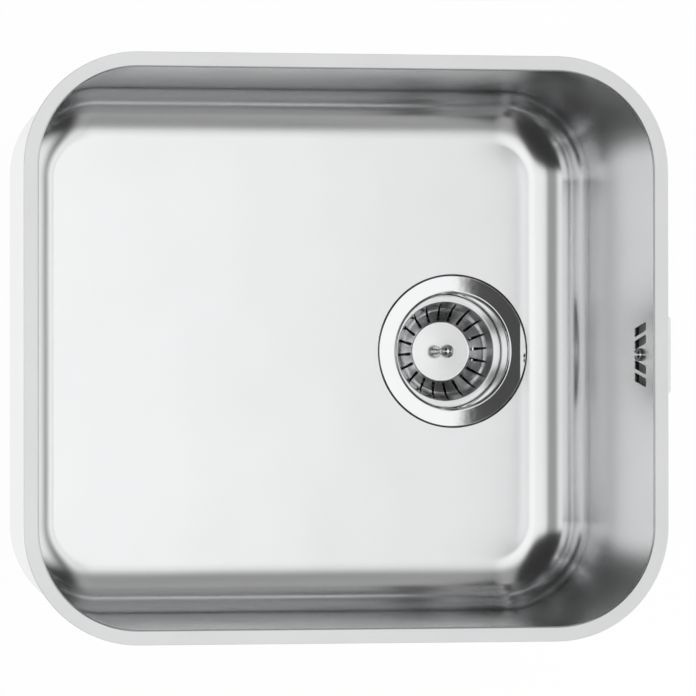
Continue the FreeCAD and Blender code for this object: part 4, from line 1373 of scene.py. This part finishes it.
@dataclass
class Overflow:
    """The overflow's pieces behind the slots: screw, gasket, ribbed hose and its two unions."""

    face: tuple[float, float, float] = (228.2, -4.0, -33.0)
    drain_x: float = 123.0
    draft: float = math.radians(2.0)
    wall_inside: float = -4.353
    wall_outside: float = -3.152
    screw_radius: float = 2.9
    screw_head_radius: float = 4.7
    screw_head_height: float = 4.4
    screw_dome: float = 3.74
    screw_end: float = 9.8
    hose_top: float = -71.0
    hose_axis: float = 11.0
    hose_low: float = -261.0
    hose_end: float = 55.0
    washer_bore: float = 7.0
    washer_reach: float = 10.0
    washer_thickness: float = 2.0
    hose_bend: float = 40.0
    hose_radius: float = 8.6
    hose_groove: float = 7.5
    hose_bore: float = 6.4
    hose_ribs: int = 55
    hose_cuff: float = 17.2
    collar_radius: float = 9.8
    collar_length: float = 3.0
    nut_bore: float = 10.1
    nut_wall: float = 2.9
    nut_lip: float = 9.0
    nut_shelf: float = 5.3
    nut_end: float = 8.3
    nut_overlap: float = 10.0
    nut_ribs: int = 10
    nut_rib: float = 0.95
    nut_gap: float = 0.55
    nut_fullness: float = 0.6
    nut_run_out: float = 1.5
    gasket_size: tuple[float, float] = (56.0, 44.0)
    gasket_band: float = 3.0
    head_corner: float = 2.5

    @property
    def hose_reach(self) -> float:
        """Give the distance between the drain's axis and the hose's upright stretch."""
        return math.hypot(self.face[0] + self.hose_axis - self.drain_x, self.face[1])

    @property
    def hose_place(self) -> Matrix:
        """Give the hose's own frame: the upright plane through the drain's axis and the spigot."""
        turn = math.atan2(self.face[1], self.face[0] + self.hose_axis - self.drain_x)
        return Matrix.Translation((self.drain_x, 0, 0)) @ Matrix.Rotation(turn, 4, "Z")

    @property
    def hose_length(self) -> float:
        """Give the length of the hose's route."""
        drop = self.hose_top - (self.hose_low + self.hose_bend)
        return drop + self.hose_bend * math.pi / 2 + self.hose_reach - self.hose_bend - self.hose_end

    def route(self, distance: float) -> tuple[Vector, Vector]:
        """Give the route's point and direction at a distance from the housing.

        Args:
            distance: the distance along the hose.

        Returns:
            The middle of the hose there, and the direction in which it runs.
        """
        drop = self.hose_top - (self.hose_low + self.hose_bend)
        quarter = self.hose_bend * math.pi / 2
        if distance <= drop:
            return Vector((self.hose_reach, 0, self.hose_top - distance)), Vector((0, 0, -1))
        if distance <= drop + quarter:
            angle = (distance - drop) / self.hose_bend
            centre = Vector((self.hose_reach - self.hose_bend, 0, self.hose_low + self.hose_bend))
            out = Vector((math.cos(angle), 0, -math.sin(angle)))
            return centre + out * self.hose_bend, Vector((-math.sin(angle), 0, -math.cos(angle)))
        along = distance - drop - quarter
        return (Vector((self.hose_reach - self.hose_bend - along, 0, self.hose_low)),
                Vector((-1, 0, 0)))

    def hose_path(self) -> list[Station]:
        """Draw the hose's wall along its route: the ribbed outside, then the smooth bore.

        Returns:
            The profile's points in order.
        """
        length = self.hose_length
        pitch = (length - 2 * self.hose_cuff) / self.hose_ribs
        quarter = pitch / 4
        neck = self.collar_length + 0.6
        corners = [(self.collar_radius, 0, 0.4), (self.collar_radius, -self.collar_length, 0.4),
                   (self.hose_radius, -neck, 0.3)]
        for rib in range(self.hose_ribs):
            start = self.hose_cuff + rib * pitch
            corners += [(self.hose_radius, -start, 0.5),
                        (self.hose_groove, -start - quarter * 0.8, 0.4),
                        (self.hose_groove, -start - quarter * 2.2, 0.4),
                        (self.hose_radius, -start - quarter * 3, 0.5)]
        corners += [(self.hose_radius, neck - length, 0.3),
                    (self.collar_radius, self.collar_length - length, 0.4),
                    (self.collar_radius, -length, 0.4), (self.hose_bore, -length, 0.4)]
        bore_steps = round(length / 4)
        corners += [(self.hose_bore, -length * (1 - k / bore_steps), 0.1)
                    for k in range(1, bore_steps)]
        corners.append((self.hose_bore, 0, 0.4))
        return rounded(corners, closed=True, step=30.0)

    def build_hose(self) -> None:
        """Carry the ribbed wall along the route, with its collars and bore."""
        skin = Skin()
        rows = []
        for station in self.hose_path():
            centre, along = self.route(-station.up)
            side = Vector((0, 1, 0))
            level = side.cross(along)
            points, faces = [], []
            for k in range(40):
                angle = 2 * math.pi * k / 40
                out = level * math.cos(angle) + side * math.sin(angle)
                points.append(centre + out * station.out)
                faces.append(out * station.face_out - along * station.face_up)
            rows.append(skin.row(points, faces))
        for first, second in zip(rows, rows[1:] + rows[:1]):
            skin.bridge(first, second)
        dress(skin.make("ribbed_hose", self.hose_place), HOSE_PLASTIC, Rides.SINK, "overflow_hose")

    def build_screw(self) -> None:
        """Turn the screw, whose raised head stands in the bowl between the slots."""
        face = -(self.wall_inside - self.screw_head_radius * math.tan(self.draft))
        tip = face + self.screw_head_height
        path = rounded([
            (0, tip, 0),
            (self.screw_head_radius, tip, self.screw_dome),
            (self.screw_head_radius, face, 0.25),
            (self.screw_radius, face, 0.1),
            (self.screw_radius, -self.screw_end, 0.6),
            (0, -self.screw_end, 0),
        ], step=6.0)
        place = Matrix.Translation(self.face) @ Matrix.Rotation(-math.pi / 2, 4, "Y")
        dress(turned("raised_screw", path, place, steps=14), POLISHED_STEEL, Rides.SINK,
              "overflow_screw")

    def nut(self) -> Skin:
        """Mould a union nut: a ribbed grip, a chamfered lip and an inside with its thread's bore.

        Returns:
            The nut's skin in its own frame.
        """
        outer = self.nut_bore + self.nut_wall
        nut = Skin()
        profile = rounded([
            (outer, -self.nut_overlap, 0.8), (outer, self.nut_shelf + 0.6, 0.8),
            (outer - 0.8, self.nut_end, 0.8),
            (self.nut_lip, self.nut_end, 0.6), (self.nut_lip, self.nut_shelf, 0.3),
            (self.nut_bore, self.nut_shelf, 0.3), (self.nut_bore, -self.nut_overlap, 0.5),
        ], closed=True)
        steps = 12 * self.nut_ribs
        for station in profile:
            points, faces = [], []
            swell = max(0.0, min(1.0, (self.nut_shelf - station.up) / self.nut_run_out,
                                 (station.up + self.nut_overlap) / self.nut_run_out))
            for k in range(steps):
                angle = 2 * math.pi * k / steps
                crest = (math.cos(self.nut_ribs * angle) - self.nut_gap) / (1 - self.nut_gap)
                ridge = max(0.0, crest) ** self.nut_fullness if station.out > outer - 0.4 else 0.0
                reach = station.out + self.nut_rib * ridge * swell
                points.append(Vector((reach * math.cos(angle), reach * math.sin(angle), station.up)))
                faces.append(Vector((station.face_out * math.cos(angle),
                                     station.face_out * math.sin(angle), station.face_up)))
            nut.row(points, faces)
        rows = [list(range(i * steps, (i + 1) * steps)) for i in range(len(profile))]
        for first, second in zip(rows, rows[1:] + rows[:1]):
            nut.bridge(first, second)
        return nut

    def build_unions(self) -> None:
        """Mould the nuts over both spigots' tips, with the washers between tip and collar."""
        thick = self.washer_thickness
        soft = 0.3 * thick
        washer = rounded([(self.washer_bore, thick, soft), (self.washer_reach, thick, soft),
                          (self.washer_reach, 0, soft), (self.washer_bore, 0, soft)],
                         closed=True, step=18.0)
        down = Matrix.Rotation(math.pi, 4, "X")
        upper = Matrix.Translation((self.hose_reach, 0, self.hose_top + thick)) @ down
        lower = (Matrix.Translation((self.hose_end - thick, 0, self.hose_low))
                 @ Matrix.Rotation(math.pi / 2, 4, "Y"))
        for name, place in (("upper", upper), ("lower", lower)):
            nut = self.nut().make(f"{name}_union_nut", self.hose_place @ place)
            nut.data.set_sharp_from_angle(angle=math.radians(35))
            dress(nut, UNION_PLASTIC, Rides.SINK, f"{name}_hose_nut")
            ring = turned(f"{name}_union_washer", washer, self.hose_place @ place, closed=True,
                          steps=12)
            dress(ring, RUBBER, Rides.SINK, f"{name}_hose_washer")

    def build_gasket(self) -> None:
        """Cut the wedge-shaped rubber frame that lies between the wall and the housing."""
        width, height = self.gasket_size
        section = Section(width / 2 - self.head_corner, height / 2 - self.head_corner,
                          self.head_corner, steps=5)
        band = self.gasket_band
        path = rounded([(-band, 1.0, 0.25), (0, 1.0, 0.25), (0, 0.0, 0.25), (-band, 0.0, 0.25)],
                       closed=True, step=30.0)
        frame_skin = Skin()
        frame_skin.sweep(path, section, closed=True)
        fall = math.tan(self.draft)
        upright = Matrix.Rotation(math.pi / 2, 4, "Z") @ Matrix.Rotation(math.pi / 2, 4, "X")
        points = []
        for point in frame_skin.points:
            spot = upright @ Vector((point.x, point.y, 0))
            reach = self.wall_outside + spot.z * fall
            points.append(Vector((reach * (1.0 - point.z), spot.y, spot.z)))
        turn = upright.to_3x3()
        frame_skin.facing = [turn @ face for face in frame_skin.facing]
        frame_skin.points = points
        dress(frame_skin.make("wedge_gasket", Matrix.Translation(self.face)), RUBBER, Rides.SINK,
              "overflow_gasket")

    def build(self) -> None:
        """Make the overflow's screw, hose, unions and gasket."""
        self.build_screw()
        self.build_hose()
        self.build_unions()
        self.build_gasket()


@dataclass
class Pads:
    """The sound-deadening pads on the outside of the bowl."""

    thickness: float = 2.5
    corner: float = 15.0
    edge: float = 0.9
    height: float = 110.0
    side_length: float = 278.0
    centre_drop: float = 90.0
    half_width: float = 200.0
    sheet: float = 1.2
    draft: float = math.radians(2.0)
    floor_left: float = -166.02
    floor_right: float = 54.8
    floor_half_width: float = 141.02
    floor_under: float = -201.2
    ripple: float = 0.12
    ripple_x: tuple[float, float] = (0.11, 0.05)
    ripple_y: tuple[float, float] = (-0.03, 0.13)
    grid: float = 6.0
    inset: float = 3.0
    clear: float = 2.0

    def rippled(self, x: float, y: float, top: float) -> tuple[Vector, Vector]:
        """Lift a point of the face by two crossing ripples.

        Args:
            x: the point's place along the pad.
            y: its place across the pad.
            top: the height of the face without ripples.

        Returns:
            The point and its facing.
        """
        lengthways = self.ripple_x[0] * x + self.ripple_x[1] * y
        crossways = self.ripple_y[0] * x + self.ripple_y[1] * y
        wave = math.sin(lengthways) * math.cos(crossways)
        slope_x = (self.ripple_x[0] * math.cos(lengthways) * math.cos(crossways)
                   - self.ripple_y[0] * math.sin(lengthways) * math.sin(crossways))
        slope_y = (self.ripple_x[1] * math.cos(lengthways) * math.cos(crossways)
                   - self.ripple_y[1] * math.sin(lengthways) * math.sin(crossways))
        return (Vector((x, y, top + self.ripple * wave)),
                Vector((-self.ripple * slope_x, -self.ripple * slope_y, 1)).normalized())

    def grid_points(self, half_x: float, half_y: float) -> list[tuple[float, float]]:
        """Spread points over the face, clear of its rounded corners.

        Args:
            half_x: half of the flat face's length.
            half_y: half of its width.

        Returns:
            Each point's place along and across the pad.
        """
        spread = []
        for i in range(1, round(2 * half_x / self.grid)):
            for k in range(1, round(2 * half_y / self.grid)):
                x, y = -half_x + i * self.grid, -half_y + k * self.grid
                over_x = max(0.0, abs(x) - half_x + self.corner)
                over_y = max(0.0, abs(y) - half_y + self.corner)
                in_corner = over_x and over_y and math.hypot(over_x, over_y) >= self.corner - self.clear
                at_edge = abs(x) >= half_x - self.clear or abs(y) >= half_y - self.clear
                if not in_corner and not at_edge:
                    spread.append((x, y))
        return spread

    def pad(self, name: str, node: str, length: float, width: float, place: Matrix) -> None:
        """Press one pad, slightly rippled, with rounded edges.

        Args:
            name: the new piece's name.
            node: the node that it stands for.
            length: the pad's length along its own X.
            width: the pad's width along its own Y.
            place: the frame of its glued face, whose Z leads away from the bowl.
        """
        section = Section(length / 2 - self.corner, width / 2 - self.corner, self.corner, steps=8)
        inset = self.inset
        top = self.thickness - self.ripple
        path = rounded([(-inset, top, 0), (0, top, self.edge), (0, 0, 0.2), (-inset, 0, 0)],
                       step=15.0)
        skin = Skin()
        rows = skin.sweep(path, section)
        points, facings = [], []
        for x, y in self.grid_points(length / 2 - inset, width / 2 - inset):
            point, facing = self.rippled(x, y, top)
            points.append(point)
            facings.append(facing)
        loose = skin.row(points, facings)
        skin.patch(rows[0], [], (0, 1), loose)
        skin.patch(rows[-1], [], (0, 1))
        dress(skin.make(name, place), PAD_BITUMEN, Rides.SINK, node)

    def build(self) -> None:
        """Press every pad."""
        middle = (self.floor_left + self.floor_right) / 2
        under = Matrix.Translation((middle, 0, self.floor_under)) @ Matrix.Rotation(math.pi, 4, "X")
        self.pad("floor_mat", "floor_pad", self.floor_right - self.floor_left,
                 2 * self.floor_half_width, under)
        reach = self.half_width + self.sheet - self.centre_drop * math.tan(self.draft)
        lean = math.pi / 2 + self.draft
        for name, node, side, turn in (("front_mat", "front_pad", -1, 0.0),
                                       ("rear_mat", "rear_pad", 1, math.pi)):
            place = (Matrix.Translation((0, side * reach, -self.centre_drop))
                     @ Matrix.Rotation(turn, 4, "Z") @ Matrix.Rotation(lean, 4, "X"))
            self.pad(name, node, self.side_length, self.height, place)


# ---------------------------------------------------------------- studio


@dataclass
class Studio:
    """A pale floor, a sky of soft panels, lamps for the matt pieces and the camera.

    The sky's edges are ramps over a direction's own X, Y or Z, or over its distance from the middle
    of the overhead box; the gap's are over X / Z. Levels are the sky's strengths, where 1 is white.
    """

    floor_z: float = -0.3135
    floor_size: float = 40.0
    floor_dark: Colour = (0.88, 0.88, 0.88)
    floor_pale: Colour = (0.92, 0.92, 0.92)
    floor_glow: float = 0.97
    fill_bearings: tuple[float, ...] = (45.0, 165.0, 285.0)
    fill_energy: float = 1.1
    fill_angle: float = math.radians(40.0)
    fill_tilt: float = math.radians(60.0)
    darkest: float = 0.035
    box_level: float = 1.08
    box_centre: float = 0.15
    box_edge: tuple[float, float] = (0.16, 0.44)
    ends_edge: tuple[float, float] = (0.16, 0.30)
    ends_fade: tuple[float, float] = (0.25, 0.6)
    ends_loss: float = 0.62
    left_start: tuple[float, float] = (-0.1, 0.1)
    left_edge: tuple[float, float] = (0.10, 0.20)
    left_fade: tuple[float, float] = (0.2, 0.5)
    left_loss: float = 0.1
    seam_start: tuple[float, float] = (0.42, 0.56)
    seam_end: tuple[float, float] = (0.74, 0.86)
    seam_depth: float = 0.6
    right_edge: tuple[float, float] = (0.3, 0.6)
    right_rise: tuple[float, float] = (0.4, 0.7)
    right_level: float = 0.9
    gap_start: tuple[float, float] = (0.2365, 0.2405)
    gap_end: tuple[float, float] = (0.256, 0.268)
    gap_depth: float = 0.93
    lowest: float = 0.01
    horizon: float = 0.95
    horizon_edge: tuple[float, float] = (0.02, 0.12)
    camera_place: tuple[float, float, float] = (-0.85635, -0.03651, 3.94457)
    camera_turn: tuple[float, float, float] = (0.0093, -0.2011, -0.0008)
    lens: float = 291.75
    shift: float = 0.1

    def build_camera(self) -> None:
        """Set the camera up where the photograph was taken from."""
        camera = bpy.data.cameras.new("camera")
        camera.lens = self.lens
        camera.sensor_width = 36.0
        camera.shift_x = self.shift
        camera.clip_end = 100.0
        holder = bpy.data.objects.new("camera", camera)
        holder.location = self.camera_place
        holder.rotation_euler = self.camera_turn
        bpy.context.scene.collection.objects.link(holder)
        bpy.context.scene.camera = holder

    def panels(self, x: Value, y: Value) -> Value:
        """Light the overhead box, the strips along both axes and the dark between them.

        Args:
            x: the direction's X.
            y: the direction's Y.

        Returns:
            The sky's level before the gap and the horizon.
        """
        off_centre = x - self.box_centre
        away = (off_centre * off_centre + y * y).apply("SQRT")
        box = (1.0 - away.ramp(*self.box_edge)) * self.box_level
        reach = y.apply("ABSOLUTE")
        ends = 1.0 - off_centre.apply("ABSOLUTE").ramp(*self.ends_edge)
        ends = ends * (1.0 - reach.ramp(*self.ends_fade) * self.ends_loss)
        aside = 0.0 - x
        seam = aside.ramp(*self.seam_start) * (1.0 - aside.ramp(*self.seam_end))
        left = aside.ramp(*self.left_start) * (1.0 - reach.ramp(*self.left_edge))
        left = left * (1.0 - seam * self.seam_depth)
        left = left * (1.0 - aside.ramp(*self.left_fade) * self.left_loss)
        right = x.ramp(*self.right_rise) * (1.0 - reach.ramp(*self.right_edge)) * self.right_level
        level = box.apply("MAXIMUM", left).apply("MAXIMUM", right).apply("MAXIMUM", ends)
        return level.apply("MAXIMUM", self.darkest)

    def build_sky(self) -> None:
        """Make the sky: soft panels, the dark gap beside the box and a pale horizon."""
        world = bpy.data.worlds.new("studio_sky")
        bpy.context.scene.world = world
        graph = Graph(world)
        direction = graph.add("ShaderNodeTexCoord", {}, {}).outputs["Generated"]
        parts = graph.add("ShaderNodeSeparateXYZ", {}, {"Vector": direction})
        x, y, z = (Value(graph, parts.outputs[axis]) for axis in "XYZ")
        slope = x / z.apply("MAXIMUM", self.lowest)
        gap = slope.ramp(*self.gap_start) * (1.0 - slope.ramp(*self.gap_end))
        level = self.panels(x, y) * (1.0 - gap * self.gap_depth)
        low = 1.0 - z.ramp(*self.horizon_edge)
        level = level + low * (self.horizon - level)
        grey = graph.add("ShaderNodeCombineColor", {}, {0: level, 1: level, 2: level})
        shade = graph.add("ShaderNodeBackground", {}, {"Color": grey.outputs[0]})
        graph.add("ShaderNodeOutputWorld", {}, {"Surface": shade.outputs[0]})

    def build_floor(self) -> None:
        """Lay the pale floor, which keeps the sink's shadow."""
        half = self.floor_size / 2
        mesh = bpy.data.meshes.new("studio_floor")
        mesh.from_pydata([(-half, -half, self.floor_z), (half, -half, self.floor_z),
                          (half, half, self.floor_z), (-half, half, self.floor_z)],
                         [], [(0, 1, 2, 3)])
        floor = bpy.data.objects.new("studio_floor", mesh)
        bpy.context.scene.collection.objects.link(floor)
        material = bpy.data.materials.new("studio_floor")
        mesh.materials.append(material)
        graph = Graph(material)
        speck = graph.noise(400.0, 2.0)
        paint = graph.add("ShaderNodeBsdfDiffuse", {},
                          {"Color": graph.blend(speck, self.floor_dark, self.floor_pale)})
        glow = graph.add("ShaderNodeEmission", {}, {"Color": (1.0, 1.0, 1.0), "Strength": 1.0})
        path = graph.add("ShaderNodeLightPath", {}, {})
        seen = (Value(graph, path.outputs["Is Camera Ray"])
                + Value(graph, path.outputs["Is Glossy Ray"])
                + Value(graph, path.outputs["Is Transmission Ray"]))
        share = seen.apply("MINIMUM", 1.0) * self.floor_glow
        lit = graph.add("ShaderNodeMixShader", {},
                        {0: share, 1: paint.outputs[0], 2: glow.outputs[0]})
        back = graph.add("ShaderNodeNewGeometry", {}, {}).outputs["Backfacing"]
        clear = graph.add("ShaderNodeBsdfTransparent", {}, {})
        whole = graph.add("ShaderNodeMixShader", {}, {0: back, 1: lit.outputs[0], 2: clear.outputs[0]})
        graph.add("ShaderNodeOutputMaterial", {}, {"Surface": whole.outputs[0]})

    def build_fill(self) -> None:
        """Set soft lamps round the sink, which light its matt pieces and leave no glint in the steel."""
        for bearing in self.fill_bearings:
            data = bpy.data.lights.new("studio_fill", "SUN")
            data.energy = self.fill_energy
            data.angle = self.fill_angle
            lamp = bpy.data.objects.new("studio_fill", data)
            lamp.rotation_euler = (self.fill_tilt, 0.0, math.radians(bearing))
            lamp.visible_glossy = False
            bpy.context.scene.collection.objects.link(lamp)

    def build(self) -> None:
        """Make the whole studio."""
        bpy.context.scene.view_settings.view_transform = "Standard"
        self.build_camera()
        self.build_sky()
        self.build_fill()
        self.build_floor()


def dress_nodes() -> None:
    """Give every node that still shows the finish of its slot."""
    finishes = {finish.slot: finish for finish in FINISHES}
    for part in frame["record"]["subparts"]:
        node = frame["nodes"][part["node"]]
        node.data.materials.clear()
        node.data.materials.append(finishes[part["material_slot"]].material())


def main() -> None:
    """Build the sink's pieces in order, then the studio."""
    logging.basicConfig(level=logging.INFO, format="%(name)s: %(message)s")
    dress_nodes()
    Bowl().build()
    Strainer().build()
    Waste().build()
    Overflow().build()
    Pads().build()
    Studio().build()


if __name__ == "__main__":
    main()
